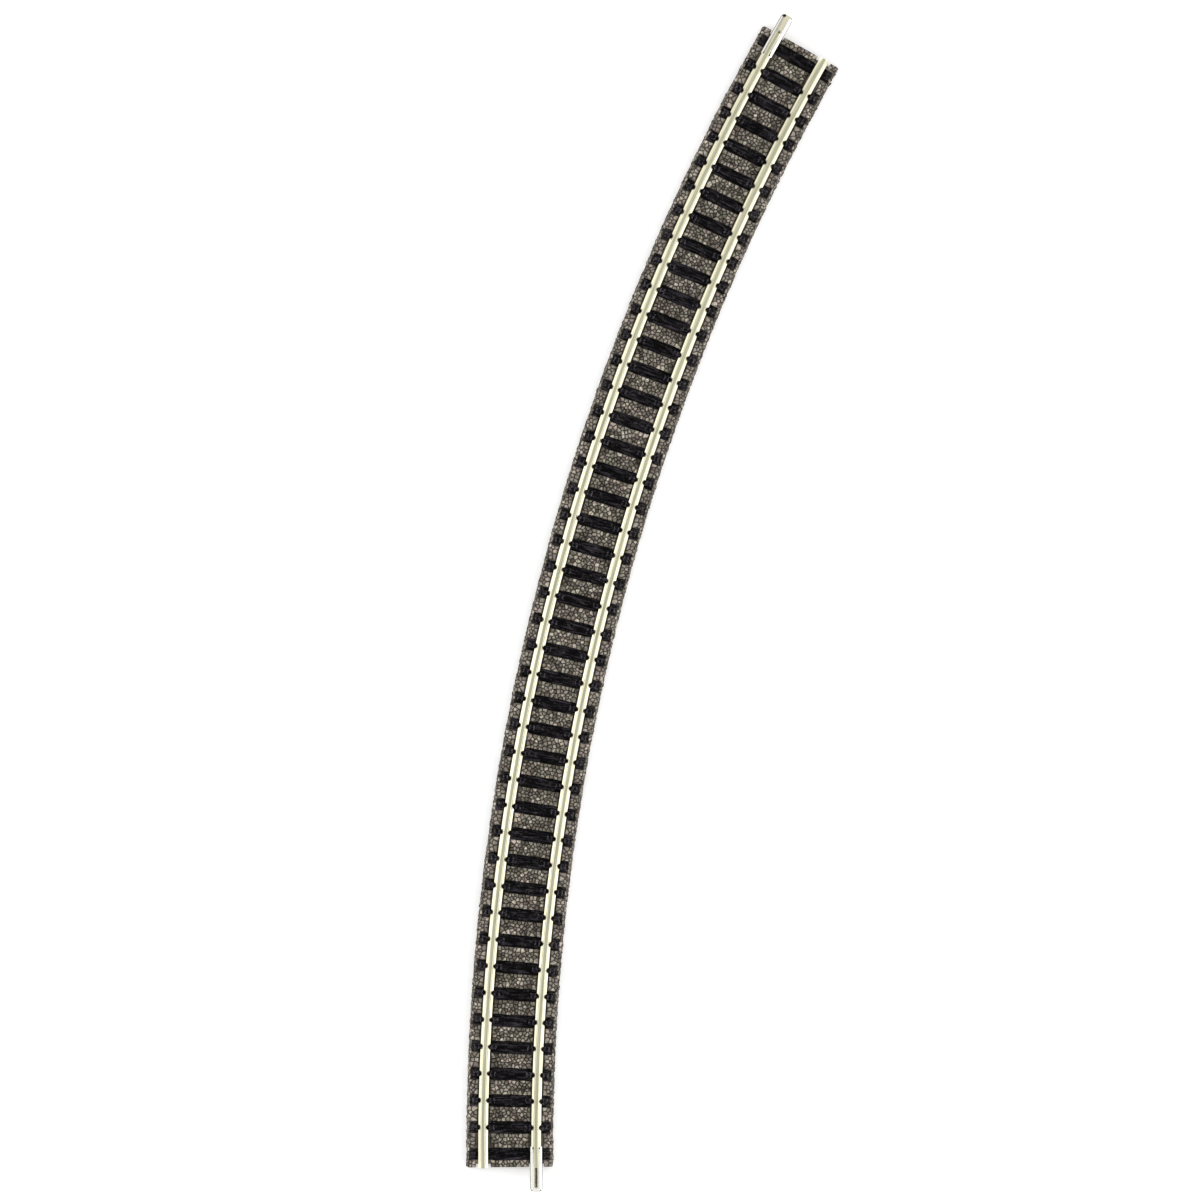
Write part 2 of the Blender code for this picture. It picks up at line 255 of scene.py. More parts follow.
# The colours, in linear RGB. Those with a number in front of each are ramps, for a pattern's
# values from 0 to 1.
STONE_TONES = (
    (0.0, (0.160, 0.138, 0.120)),
    (0.3, (0.290, 0.262, 0.222)),
    (0.6, (0.405, 0.378, 0.325)),
    (0.85, (0.560, 0.520, 0.470)),
    (1.0, (0.740, 0.700, 0.640)),
)
STONE_TINTS = ((0.35, (0.93, 0.95, 0.87)), (0.65, (1.0, 0.93, 0.93)))
# A paler, pinker colour mixed onto the bed's top outside the rails
STONE_OUTER_PALE = (0.80, 0.70, 0.64)
STONE_OUTER_PALE_SHARE = 0.22
BARE_MOULDING = (0.022, 0.019, 0.017)
BED_END_TONES = ((0.35, (0.050, 0.044, 0.039)), (0.65, (0.085, 0.076, 0.068)))
SLEEPER_TONES = (
    (0.40, (0.0003, 0.0003, 0.0005)),
    (0.54, (0.0018, 0.0015, 0.0022)),
    (0.68, (0.0390, 0.0345, 0.0435)),
)
SLEEPER_DUST = (0.083, 0.073, 0.075)
# A painted highlight on the chairs' raised slopes
CHAIR_PAINTED_HIGHLIGHT = (0.094, 0.085, 0.103)
RAIL_BRIGHT = (0.83, 0.79, 0.58)
RAIL_TARNISHED = (0.75, 0.71, 0.50)
# A dark reflection painted as a band along the rail head's top, streaked by the drawing lines
RAIL_REFLECTION_DARK = (0.32, 0.32, 0.23)
RAIL_REFLECTION_PALE = (0.60, 0.59, 0.44)
JOINER_LIPS = (0.90, 0.89, 0.83)
# Painted shade along the far joiner's left lip
JOINER_LIP_SHADE = (0.30, 0.28, 0.20)
JOINER_FLOOR = (0.74, 0.70, 0.52)
JOINER_FLOOR_BRIGHT = (0.92, 0.91, 0.85)
# Painted shadow in a strip down the middle of the joiner's floor
JOINER_FLOOR_SHADOW = (0.04, 0.04, 0.035)
JOINER_BLOTCH = (0.78, 0.75, 0.64)
# A dark reflection painted on the joiners' bends
JOINER_BEND_REFLECTION = (0.06, 0.055, 0.05)
# Painted shadow in dashes along the lips' edges
JOINER_EDGE_SHADOW = (0.05, 0.045, 0.03)
# Painted shade in the relief pits and in spots at the mouth's corners
JOINER_PAINTED_SHADE = (0.01, 0.009, 0.008)

# How rough the patterns are, and how deep each material's finest relief is
NOISE_ROUGHNESS = 0.55
STONE_RELIEF = 0.06 * MM
PLASTIC_RELIEF = 0.08 * MM
DRAWN_RELIEF = 0.012 * MM
SCRATCH_RELIEF = 0.008 * MM

# How the two joiners' finish differs, in millimetres: how far the painted shadow strip on the floor
# reaches past the rail's end, how far the floor is bright behind the mouth, how much painted shade
# lies along the left lip (a share), and the painted shade spots at the mouth, each as (across,
# behind the mouth, radius)
START_SHADE_SPOTS = ((-0.92, 0.32, 0.22), (0.92, 0.32, 0.22))
FAR_SHADE_SPOTS = ((-0.7, 0.38, 0.42), (0.95, 0.35, 0.2))
JOINER_LOOKS = {
    "start": {"shade_end": 3.7, "bright_mouth": 0.8, "lip_shade": 0.0, "shade_spots": START_SHADE_SPOTS},
    "far": {"shade_end": 0.3, "bright_mouth": 0.0, "lip_shade": 0.75, "shade_spots": FAR_SHADE_SPOTS},
}

# The floor and the white studio round it
FLOOR_SIZE = 6.0
FLOOR_GAP = 0.02 * MM
FLOOR_GRAIN = 900.0
FLOOR_GLOW = 0.25
HORIZON_GLOW = 0.35
SKY_GLOW = 0.95
HORIZON_HEIGHT = 0.1
SKY_HEIGHT = 0.55

# Each area light's name, place, power and colour
LIGHT_SIZE = (0.5, 0.9)
LIGHTS = (
    ("key_right", (0.8, 0.25, 0.7), 2.9, (1.0, 0.99, 0.97)),
    ("fill_left", (-0.9, -0.1, 0.6), 2.2, (1.0, 1.0, 1.0)),
)

# The camera, with the width of what it sees and where it aims, in the turned frame
CAMERA_DISTANCE = 1500 * MM
CAMERA_TILT = math.radians(0.4)
CAMERA_ROLL = math.radians(14.58)
CAMERA_CLIP = (1 * MM, 50)
SENSOR = 36.0
FRAME_WIDTH = 230.64 * MM
AIM = Vector((3.53, -2.28)) * MM


# ---- general helpers


def wrap(along, across, height):
    """World positions of points given along the centreline, across it and by height."""
    angle = along / CURVE_RADIUS - FAR_ANGLE
    radius = CURVE_RADIUS - across
    return np.column_stack((CURVE_RADIUS - radius * np.cos(angle), radius * np.sin(angle), height))


def unwrap(points):
    """Along, across and height of world positions: wrap turned round."""
    x = CURVE_RADIUS - points[:, 0]
    angle = np.arctan2(points[:, 1], x)
    along = (angle + FAR_ANGLE) * CURVE_RADIUS
    return np.column_stack((along, CURVE_RADIUS - np.hypot(x, points[:, 1]), points[:, 2]))


def read_vectors(items, name):
    """One vector of every vertex or face of a mesh, as the rows of an array."""
    values = np.empty(len(items) * 3)
    items.foreach_get(name, values)
    return values.reshape(-1, 3)


def new_object(name, mesh):
    obj = bpy.data.objects.new(name, mesh)
    bpy.context.scene.collection.objects.link(obj)
    return obj


def mesh_from(bm, name):
    bmesh.ops.recalc_face_normals(bm, faces=bm.faces)
    mesh = bpy.data.meshes.new(name)
    bm.to_mesh(mesh)
    bm.free()
    return mesh


def remove(*objects):
    for obj in objects:
        bpy.data.objects.remove(obj)


def outline_face(bm, points):
    """A flat face through points given as (x, z) in the plane across the track."""
    return bm.faces.new([bm.verts.new((x, 0, z)) for x, z in points])


def add_sweep(bm, section, start, end, steps):
    """Adds a section swept round the curve's centre from one angle to another."""
    face = outline_face(bm, section)
    bmesh.ops.transform(bm, matrix=station(start), verts=face.verts)
    geom = [face, *face.edges, *face.verts]
    bmesh.ops.spin(bm, geom=geom, cent=CURVE_CENTRE, axis=(0, 0, -1), angle=end - start, steps=steps)


def add_prism(bm, section, back, front):
    """Adds a section extruded along y."""
    face = outline_face(bm, section)
    bmesh.ops.translate(bm, verts=face.verts, vec=(0, back, 0))
    grown = bmesh.ops.extrude_face_region(bm, geom=[face])["geom"]
    verts = [item for item in grown if isinstance(item, bmesh.types.BMVert)]
    bmesh.ops.translate(bm, verts=verts, vec=(0, front - back, 0))


def add_box(bm, low, high, place=None):
    """Adds a box between two corners, placed by a frame."""
    low, high = Vector(low), Vector(high)
    shape = Matrix.Translation((low + high) / 2) @ Matrix.Diagonal((*(high - low), 1))
    bmesh.ops.create_cube(bm, size=1, matrix=(place or Matrix()) @ shape)


def combine(obj, operation, *others):
    """Joins closed objects to a piece, or cuts them out of it."""
    for other in others:
        modifier = obj.modifiers.new(f"{operation.lower()} {other.name}", "BOOLEAN")
        modifier.operation = operation
        modifier.object = other
        modifier.solver = "MANIFOLD"
    bpy.context.view_layer.update()
    graph = bpy.context.evaluated_depsgraph_get()
    mesh = bpy.data.meshes.new_from_object(obj.evaluated_get(graph))
    obj.modifiers.clear()
    obj.data = mesh


def mirrored(half):
    """A closed outline from its right half, listed from the bottom up."""
    return half + [(-x, z) for x, z in reversed(half)]


def rounded(points, radii, steps=4):
    """A closed outline with each corner turned into an arc of its own radius."""
    out = []
    count = len(points)
    for index, radius in enumerate(radii):
        here = Vector(points[index])
        before = (Vector(points[index - 1]) - here).normalized()
        after = (Vector(points[(index + 1) % count]) - here).normalized()
        if radius <= 0:
            out.append(tuple(here))
            continue
        half = before.angle(after) / 2
        middle = here + (before + after).normalized() * (radius / math.sin(half))
        start = here + before * (radius / math.tan(half)) - middle
        sweep = (math.pi - 2 * half) * (1 if before.cross(after) < 0 else -1)
        for step in range(steps + 1):
            turn = Matrix.Rotation(sweep * step / steps, 2)
            out.append(tuple(middle + turn @ start))
    return out


def skin_faces(low, count):
    """The faces between a ring of points and the ring that follows it."""
    pairs = [(index, (index + 1) % count) for index in range(count)]
    return [(low + a, low + b, low + count + b, low + count + a) for a, b in pairs]


def tube(name, rings):
    """A closed mesh through rings of equally many points, with a cap at each end."""
    count = len(rings[0])
    last = count * (len(rings) - 1)
    faces = [tuple(range(count)), tuple(range(last, last + count))]
    for low in range(0, last, count):
        faces += skin_faces(low, count)
    mesh = bpy.data.meshes.new(name)
    mesh.from_pydata(np.concatenate(rings).tolist(), [], faces)
    bm = bmesh.new()
    bm.from_mesh(mesh)
    bpy.data.meshes.remove(mesh)
    return mesh_from(bm, name)


def smooth_by_angle(mesh, angle):
    mesh.shade_smooth()
    mesh.set_sharp_from_angle(angle=angle)


def store(mesh, name, values, domain="POINT"):
    """Keeps one number, or one vector, for each vertex or face, for the materials to read."""
    values = np.asarray(values, np.float32)
    if values.ndim == 1:
        mesh.attributes.new(name, "FLOAT", domain).data.foreach_set("value", values)
    else:
        mesh.attributes.new(name, "FLOAT_VECTOR", domain).data.foreach_set("vector", values.ravel())


def store_local(mesh, along, across=0, height=0):
    """Stores where each point is, seen from a place on the track, in millimetres."""
    local = unwrap(read_vectors(mesh.vertices, "co")) - (along, across, height)
    store(mesh, "local", local / MM)


def give(obj, material, body, slot, *nodes):
    """Finishes a piece: its material, its body and the CAD nodes that it stands for, which it hides. The slot is
    not used.
    """
    obj.data.materials.clear()
    obj.data.materials.append(material)
    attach(obj, body)
    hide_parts(*nodes)


# ---- ballast


def bed_path():
    """The bed's outer surface from its middle outwards: rows of length, x, z and the normal."""
    slope = math.atan2(BED_BASE - BED_CREST, STONE_LEVEL - BED_PLINTH)
    turn = math.pi / 2 - slope
    tangent = CREST_ROUNDING * math.tan(turn / 2)
    rows = [(0, 0, STONE_LEVEL, math.pi / 2)]
    flat = BED_CREST - tangent
    for step in range(CREST_STEPS + 1):
        bend = turn * step / CREST_STEPS
        x = flat + CREST_ROUNDING * math.sin(bend)
        z = STONE_LEVEL - CREST_ROUNDING * (1 - math.cos(bend))
        rows.append((flat + CREST_ROUNDING * bend, x, z, math.pi / 2 - bend))
    corner = rows[-1][0] + math.hypot(BED_BASE - rows[-1][1], rows[-1][2] - BED_PLINTH)
    rows.append((corner, BED_BASE, BED_PLINTH, slope / 2))
    rows.append((corner + BED_PLINTH, BED_BASE, 0, 0))
    return np.array(rows).T


BED_PATH = bed_path()
BED_REACH = BED_PATH[0][-1]


def lay(along, across, rise):
    """World positions of points on the bed's surface, lifted off it along its normal."""
    length = np.abs(across)
    x, z, normal = (np.interp(length, BED_PATH[0], row) for row in BED_PATH[1:])
    side = np.where(across < 0, -1.0, 1.0)
    return wrap(along, side * (x + rise * np.cos(normal)), z + rise * np.sin(normal))


def hollows_near(along):
    """The parts of the bed without stones, as (along, across) rectangles near a place."""
    number = min(max(int(along / PITCH), 0), SLEEPER_COUNT - 1)
    half = SLEEPER_HALF_WIDTH + FIT_GAP + CREVICE_RIM
    end = SLEEPER_HALF_LENGTH + FIT_GAP + CREVICE_RIM
    rects = []
    for near in (number - 1, number, number + 1):
        if 0 <= near < SLEEPER_COUNT:
            middle = (near + 0.5) * PITCH
            rects.append((middle - half, middle + half, -end, end))
    trough = TROUGH_HALF + CREVICE_RIM
    recess = RECESS_HALF + CREVICE_RIM
    for rail in (-RAIL_OFFSET, RAIL_OFFSET):
        rects.append((-BEYOND, BEYOND, rail - trough, rail + trough))
        rects.append((-BEYOND, RECESS_LENGTH, rail - recess, rail + recess))
        rects.append((TRACK_LENGTH - RECESS_LENGTH, BEYOND, rail - recess, rail + recess))
    return rects


def nearest_in(rect, along, across):
    """The point of a rectangle that is nearest to a place."""
    low_along, high_along, low_across, high_across = rect
    return min(max(along, low_along), high_along), min(max(across, low_across), high_across)


def scatter_stones(rng):
    """Stone centres thrown at random on the stony parts, with a least spacing between them."""
    squares = {}
    stones = []
    for _ in range(STONE_THROWS):
        along = rng.uniform(STONE_CLEAR, TRACK_LENGTH - STONE_CLEAR)
        across = rng.uniform(STONE_CLEAR - BED_REACH, BED_REACH - STONE_CLEAR)
        column, row = round(along / STONE_LARGEST), round(across / STONE_LARGEST)
        spacing = rng.uniform(STONE_SMALLEST, STONE_LARGEST)
        beside = ((column + i, row + j) for i in (-1, 0, 1) for j in (-1, 0, 1))
        near = (place for square in beside for place in squares.get(square, ()))
        if any(math.hypot(p[0] - along, p[1] - across) < spacing for p in near):
            continue
        edges = (nearest_in(rect, along, across) for rect in hollows_near(along))
        if any(math.hypot(p[0] - along, p[1] - across) < STONE_CLEAR for p in edges):
            continue
        squares.setdefault((column, row), []).append((along, across))
        stones.append((along, across))
    return stones


def hollow_seeds(stones):
    """Mirror images of the stones next to a hollow, so that the stones end on the hollow's edge."""
    seeds = []
    for along, across in stones:
        for rect in hollows_near(along):
            edge = nearest_in(rect, along, across)
            if math.hypot(edge[0] - along, edge[1] - across) < MIRROR_REACH:
                seeds.append((2 * edge[0] - along, 2 * edge[1] - across))
    return seeds


def with_border_images(seeds):
    """Adds mirror images across the bed's ends and base edges, so that the cells end there."""
    images = []
    for along, across in seeds:
        if along < BORDER_REACH:
            images.append((-along, across))
        if along > TRACK_LENGTH - BORDER_REACH:
            images.append((2 * TRACK_LENGTH - along, across))
        if abs(across) > BED_REACH - BORDER_REACH:
            images.append((along, math.copysign(2 * BED_REACH, across) - across))
    return seeds + images


def circumcentre(a, b, c):
    """The point as far from each of a triangle's corners, or None for a flat triangle."""
    bx, by, cx, cy = b[0] - a[0], b[1] - a[1], c[0] - a[0], c[1] - a[1]
    scale = 2 * (bx * cy - by * cx)
    if abs(scale) < FLAT_TRIANGLE:
        return None
    b2, c2 = bx * bx + by * by, cx * cx + cy * cy
    return a[0] + (cy * b2 - by * c2) / scale, a[1] + (bx * c2 - cx * b2) / scale


def voronoi_cells(seeds):
    """The corners of the cell round each seed, in order round it."""
    count = len(seeds)
    everything = with_border_images(seeds)
    points = [Vector((along / MM, across / MM)) for along, across in everything]
    verts, _, faces, origins, _, _ = geometry.delaunay_2d_cdt(points, [], [], 0, CELL_TOLERANCE)
    corners = [[] for _ in range(count)]
    for face in faces:
        centre = circumcentre(*(verts[index] for index in face))
        if centre is None:
            continue
        for index in face:
            for origin in origins[index][:1]:
                if origin < count:
                    corners[origin].append(centre)
    cells = []
    for (along, across), ring in zip(everything, corners):
        middle = (along / MM, across / MM)
        ring.sort(key=lambda p: math.atan2(p[1] - middle[1], p[0] - middle[0]))
        cells.append(np.array(ring) * MM)
    return cells


def clip_to_bed(ring):
    return np.column_stack(
        (np.clip(ring[:, 0], 0, TRACK_LENGTH), np.clip(ring[:, 1], -BED_REACH, BED_REACH))
    )


def crevice_ring(ring):
    return np.column_stack((ring, np.full(len(ring), -CREVICE)))


def stone_rings(ring, rng):
    """The rings of one stone, outside in, as (along, across, rise)."""
    middle = ring.mean(axis=0)
    spokes = ring - middle
    size = np.hypot(*spokes.T)[:, None]
    shoulder = middle + spokes * np.clip(1 - SHOULDER_INSET * MM / size, *SHOULDER_SHARES)
    top = rng.uniform(*STONE_RISE) * MM
    tilt = np.array((rng.gauss(0, STONE_TILT), rng.gauss(0, STONE_TILT)))
    drop = np.array([rng.uniform(*SHOULDER_DROP) * MM for _ in ring])
    shift = np.array([rng.uniform(-CROWN_SHIFT, CROWN_SHIFT) for _ in range(2)]) * MM
    shares = np.array([rng.uniform(*CROWN_SHARES) for _ in ring])[:, None]
    crown = middle + shift + spokes * shares
    return [
        crevice_ring(ring),
        np.column_stack((shoulder, top - drop + (shoulder - middle) @ tilt)),
        np.column_stack((crown, top + (crown - middle) @ tilt)),
    ]


def ballast_sheet(cells, stone_count, rng):
    """Vertices and faces of the surface of stones, with flat floors between them."""
    points = []
    faces = []
    low = 0
    for number, cell in enumerate(cells):
        if len(cell) < 3:
            continue
        ring = clip_to_bed(cell)
        count = len(ring)
        rings = stone_rings(ring, rng) if number < stone_count else [crevice_ring(ring)]
        for _ in rings[1:]:
            faces += skin_faces(low, count)
            low += count
        faces.append(tuple(range(low, low + count)))
        low += count
        points += rings
    return np.concatenate(points), faces


def close_ballast(bm):
    """Closes the sheet with the two end faces and the flat base."""
    flat = bm.verts.layers.float_vector["flat"]
    border = {vert for edge in bm.edges if edge.is_boundary for vert in edge.verts}
    start = [v for v in border if v[flat].x < SNAP]
    far = [v for v in border if v[flat].x > TRACK_LENGTH - SNAP]
    left = [v for v in border if v[flat].y < SNAP - BED_REACH]
    right = [v for v in border if v[flat].y > BED_REACH - SNAP]
    bm.faces.new(sorted(start, key=lambda v: v[flat].y))
    bm.faces.new(sorted(far, key=lambda v: v[flat].y))
    left.sort(key=lambda v: v[flat].x)
    right.sort(key=lambda v: -v[flat].x)
    bm.faces.new(left + right)


def ballast_solid(seeds, stone_count, rng):
    points, faces = ballast_sheet(voronoi_cells(seeds), stone_count, rng)
    mesh = bpy.data.meshes.new("ballast_stones")
    mesh.from_pydata(lay(*points.T).tolist(), [], faces)
    store(mesh, "flat", points)
    bm = bmesh.new()
    bm.from_mesh(mesh)
    bmesh.ops.remove_doubles(bm, verts=bm.verts, dist=WELD)
    close_ballast(bm)
    bmesh.ops.recalc_face_normals(bm, faces=bm.faces)
    bm.to_mesh(mesh)
    bm.free()
    return mesh


def end_slot_cutter(name, inward, length, floor):
    """Slots round the four rail ends, cut square to the track at an angle inward of the end."""
    bm = bmesh.new()
    reach = CURVE_RADIUS * math.tan(inward)
    for end in (-1, 1):
        back, front = sorted((end * (reach - length), end * (reach + MM)))
        for side in (-1, 1):
            left = side * RAIL_OFFSET - RECESS_HALF
            high = (left + 2 * RECESS_HALF, front, RAIL_TOP)
            add_box(bm, (left, back, floor), high, station(end * (FAR_ANGLE - inward)))
    return new_object(name, mesh_from(bm, name))


def recess_cutter():
    """The wider recesses round the four rail ends, where the joiners slide."""
    return end_slot_cutter("recesses", SLEEPER_STEP / 2, RECESS_LENGTH, TROUGH_FLOOR)


def end_notch_cutter():
    """Slots through the bed's end walls, in line with the rails."""
    return end_slot_cutter("end_notches", 0, END_NOTCH, -MM)


def pocket_cutter():
    """The pockets that the sleepers sit in."""
    bm = bmesh.new()
    x = SLEEPER_HALF_LENGTH + FIT_GAP
    y = SLEEPER_HALF_WIDTH + FIT_GAP
    for number in range(SLEEPER_COUNT):
        low = (-x, -y, SLEEPER_BOTTOM - FIT_GAP)
        add_box(bm, low, (x, y, RAIL_TOP), station(sleeper_angle(number)))
    return new_object("pockets", mesh_from(bm, "pockets"))


def trough_cutter():
    """The channel that runs below each rail."""
    bm = bmesh.new()
    for side in (-1, 1):
        left = side * RAIL_OFFSET - TROUGH_HALF
        right = left + 2 * TROUGH_HALF
        section = [(left, TROUGH_FLOOR), (right, TROUGH_FLOOR), (right, RAIL_TOP), (left, RAIL_TOP)]
        start, end = -FAR_ANGLE - SLEEPER_STEP, FAR_ANGLE + SLEEPER_STEP
        add_sweep(bm, section, start, end, 4 * SLEEPER_COUNT)
    return new_object("troughs", mesh_from(bm, "troughs"))


def cell_cutter():
    """The hollows under the deck, with a rib between each two."""
    bm = bmesh.new()
    half = BED_BASE - BED_WALL
    section = mirrored([(half, -MM), (half, DECK_UNDERSIDE)])
    rib = BED_RIB / CURVE_RADIUS
    pitch = (2 * FAR_ANGLE - rib) / BED_CELLS
    for cell in range(BED_CELLS):
        start = rib - FAR_ANGLE + cell * pitch
        add_sweep(bm, section, start, start + pitch - rib, CELL_STEPS)
    return new_object("cells", mesh_from(bm, "cells"))


def stone_tree(stones):
    tree = kdtree.KDTree(len(stones))
    for number, place in enumerate(lay(*np.array(stones).T, 0)):
        tree.insert(place, number)
    tree.balance()
    return tree


def store_tones(mesh, tree, tones):
    """Stores the tone of the stone that each face belongs to, and which faces are on the ends."""
    centres = read_vectors(mesh.polygons, "center")
    store(mesh, "tone", [tones[tree.find(place)[1]] for place in centres], "FACE")
    along = unwrap(centres)[:, 0]
    store(mesh, "end", np.minimum(along, TRACK_LENGTH - along) < END_SKIN, "FACE")


def store_depths(mesh, tree):
    """Stores how near each point is to a crevice, for the painted shade there, and where the bare moulding shows.
    """
    points = read_vectors(mesh.vertices, "co")
    gaps = []
    for point in points:
        first, second = tree.find_n(point, 2)
        gaps.append(second[2] - first[2])
    store(mesh, "painted_crevice_shade", np.clip(np.array(gaps) / CREVICE_SHADE, 0, 1))
    local = unwrap(points)
    wall = np.interp(local[:, 2], BED_PATH[2][::-1], BED_PATH[1][::-1])
    inside = np.minimum(STONE_LEVEL - local[:, 2], wall - np.abs(local[:, 1]))
    store(mesh, "bare", np.clip((inside - CREVICE) / BARE_FADE, 0, 1))
    store(mesh, "local", local / MM)


def make_ballast(material):
    rng = random.Random(STONE_SEED)
    stones = scatter_stones(rng)
    seeds = stones + hollow_seeds(stones)
    bed = new_object("stone_ballast_bed", ballast_solid(seeds, len(stones), rng))
    cutters = [cell_cutter(), trough_cutter(), recess_cutter(), end_notch_cutter(), pocket_cutter()]
    combine(bed, "DIFFERENCE", *cutters)
    remove(*cutters)
    tree = stone_tree(stones)
    store_tones(bed.data, tree, [rng.random() for _ in stones])
    store_depths(bed.data, tree)
    give(bed, material, "track", "ballast", "ballast_bed")


# ---- sleepers


def sleeper_outline():
    """The sleeper seen from its end: (y, z) points with room for grain along the top."""
    y, low, high = SLEEPER_HALF_WIDTH, SLEEPER_BOTTOM, SLEEPER_TOP
    inset = GRAIN_MARGIN_ROUNDINGS * SLEEPER_ROUNDING
    lanes = np.linspace(y - inset, inset - y, GRAIN_LANES)
    middle = (low + high) / 2
    points = [(-y, low), (y, low), (y, middle), (y, high)]
    points += [(lane, high) for lane in lanes]
    points += [(-y, high), (-y, middle)]
    edge = SLEEPER_ROUNDING
    radii = [edge / 3, edge / 3, 0, edge, *[0] * GRAIN_LANES, edge, 0]
    return np.array(rounded(points, radii))


def sleeper_stops():
    """Places along the sleeper, each with how far the outline is drawn in to round the ends."""
    stops = []
    for step in range(SLEEPER_END_STEPS):
        bend = math.pi / 2 * step / SLEEPER_END_STEPS
        back = SLEEPER_ROUNDING * (1 - math.sin(bend))
        stops.append((SLEEPER_HALF_LENGTH - back, SLEEPER_ROUNDING * (1 - math.cos(bend))))
    ends = stops[::-1]
    inner = SLEEPER_HALF_LENGTH - SLEEPER_ROUNDING
    middle = [(x, 0) for x in np.linspace(-inner, inner, GRAIN_STEPS)[1:-1]]
    return [(-x, inset) for x, inset in ends] + middle + [(x, inset) for x, inset in stops]


def grain(x, y, seed):
    """Depth of the wood grain: streaks and fibres from 0 to 1, and more where there is a crack.

    The seed's multiples give each sleeper a part of the noise to itself.
    """
    x, y = x / MM, y / MM
    streak = noise.noise((x * STREAK_SCALE[0] + seed * 7.3, y * STREAK_SCALE[1], seed * 1.7))
    fibre = noise.noise((x * FIBRE_SCALE[0] - seed * 3.1, y * FIBRE_SCALE[1], seed * 2.9))
    crack = abs(noise.noise((x * CRACK_SCALE[0], y * CRACK_SCALE[1] + seed * 5.9, seed)))
    depth = min(max(GRAIN_LEVEL - STREAK_SHARE * streak - FIBRE_SHARE * fibre, 0), 1)
    return depth + (CRACK_DEPTH if crack < CRACK_WIDTH else 0)


def grained_point(x, y, z, number):
    """A point of a sleeper pressed in by the grain: downwards on the top, inwards on the sides."""
    top = min(max((z - SLEEPER_TOP) / SLEEPER_ROUNDING + 1, 0), 1)
    depth = GRAIN_DEPTH * grain(x, y, number)
    side = math.copysign(GRAIN_DEPTH * grain(x, z * 2, number + SIDE_GRAIN_SEED), y)
    return x, y - (1 - top) * SIDE_GRAIN_SHARE * side, z - top * depth


def grained_block(number):
    """The bare sleeper with its ends rounded off and wood grain moulded in its top and sides."""
    outline = sleeper_outline()
    middle = (SLEEPER_TOP + SLEEPER_BOTTOM) / 2
    half_height = (SLEEPER_TOP - SLEEPER_BOTTOM) / 2
    rings = []
    for x, inset in sleeper_stops():
        narrow = 1 - inset / SLEEPER_HALF_WIDTH
        flat = 1 - inset / half_height
        ring = [(y * narrow, middle + (z - middle) * flat) for y, z in outline]
        rings.append([grained_point(x, y, z, number) for y, z in ring])
    return new_object(f"moulded_sleeper_{number + 1:02d}", tube("moulded_sleeper", rings))


def foot_top(x):
    """Height of the top of the rail foot, at a distance from the rail's middle."""
    slope = RAIL_FOOT_RISE / (RAIL_FOOT - RAIL_WEB)
    return RAIL_BOTTOM + RAIL_FOOT_EDGE + (RAIL_FOOT - x) * slope


def chair_profile():
    """The chair seen along the track: x is the distance from the rail's middle, z the height."""
    tip = RAIL_FOOT - NOSE_REACH
    neck = RAIL_FOOT + 2 * FIT_GAP
    nose = foot_top(tip) + 2 * FIT_GAP
    return [
        (neck, SLEEPER_TOP - CHAIR_ROOT),
        (CHAIR_BACK, SLEEPER_TOP - CHAIR_ROOT),
        (CHAIR_BACK, SLEEPER_TOP + FIT_GAP),
        (CHAIR_BACK - CHAIR_HEEL, SLEEPER_TOP + CHAIR_HEEL),
        (CHAIR_SHOULDER, SLEEPER_TOP + CHAIR_HEEL),
        (CHAIR_RIDGE, SLEEPER_TOP + CHAIR_HEIGHT),
        (tip, nose + NOSE_THICKNESS),
        (tip, nose),
        (neck, foot_top(RAIL_FOOT) + FIT_GAP),
    ]


def trim(bm, point, normal):
    """Cuts away what lies beyond a plane and closes the cut."""
    cut = bmesh.ops.bisect_plane(
        bm,
        geom=[*bm.verts, *bm.edges, *bm.faces],
        dist=TRIM_TOLERANCE,
        plane_co=point,
        plane_no=normal,
        clear_outer=True,
    )
    edges = [item for item in cut["geom_cut"] if isinstance(item, bmesh.types.BMEdge)]
    bmesh.ops.contextual_create(bm, geom=edges)


def one_chair(rail_side, chair_side):
    """A chair with its nose trimmed to a point in plan and its edges rounded over."""
    bm = bmesh.new()
    add_prism(bm, chair_profile(), -CHAIR_HALF_WIDTH, CHAIR_HALF_WIDTH)
    cheek = Vector((RAIL_FOOT, CHAIR_HALF_WIDTH, 0))
    run = Vector((-NOSE_REACH, NOSE_TIP - CHAIR_HALF_WIDTH, 0))
    for side in (-1, 1):
        flip = Matrix.Diagonal((1, side, 1))
        trim(bm, flip @ cheek, flip @ Vector((run.y, -run.x, 0)))
    bmesh.ops.recalc_face_normals(bm, faces=bm.faces)
    bmesh.ops.bevel(
        bm,
        geom=[edge for edge in bm.edges if edge.calc_face_angle(0) > CHAIR_EDGE_ANGLE],
        offset=CHAIR_BEVEL,
        segments=2,
        profile=0.5,
        affect="EDGES",
        clamp_overlap=True,
    )
    place = Matrix.Translation((rail_side * RAIL_OFFSET, 0, 0))
    bmesh.ops.transform(bm, matrix=place @ Matrix.Diagonal((chair_side, 1, 1, 1)), verts=bm.verts)
    return mesh_from(bm, "chair")


def four_chairs():
    """The chairs of one sleeper, on both sides of both rails."""
    bm = bmesh.new()
    for rail_side in (-1, 1):
        for chair_side in (-1, 1):
            bm.from_mesh(one_chair(rail_side, chair_side))
    return new_object("chairs", mesh_from(bm, "chairs"))


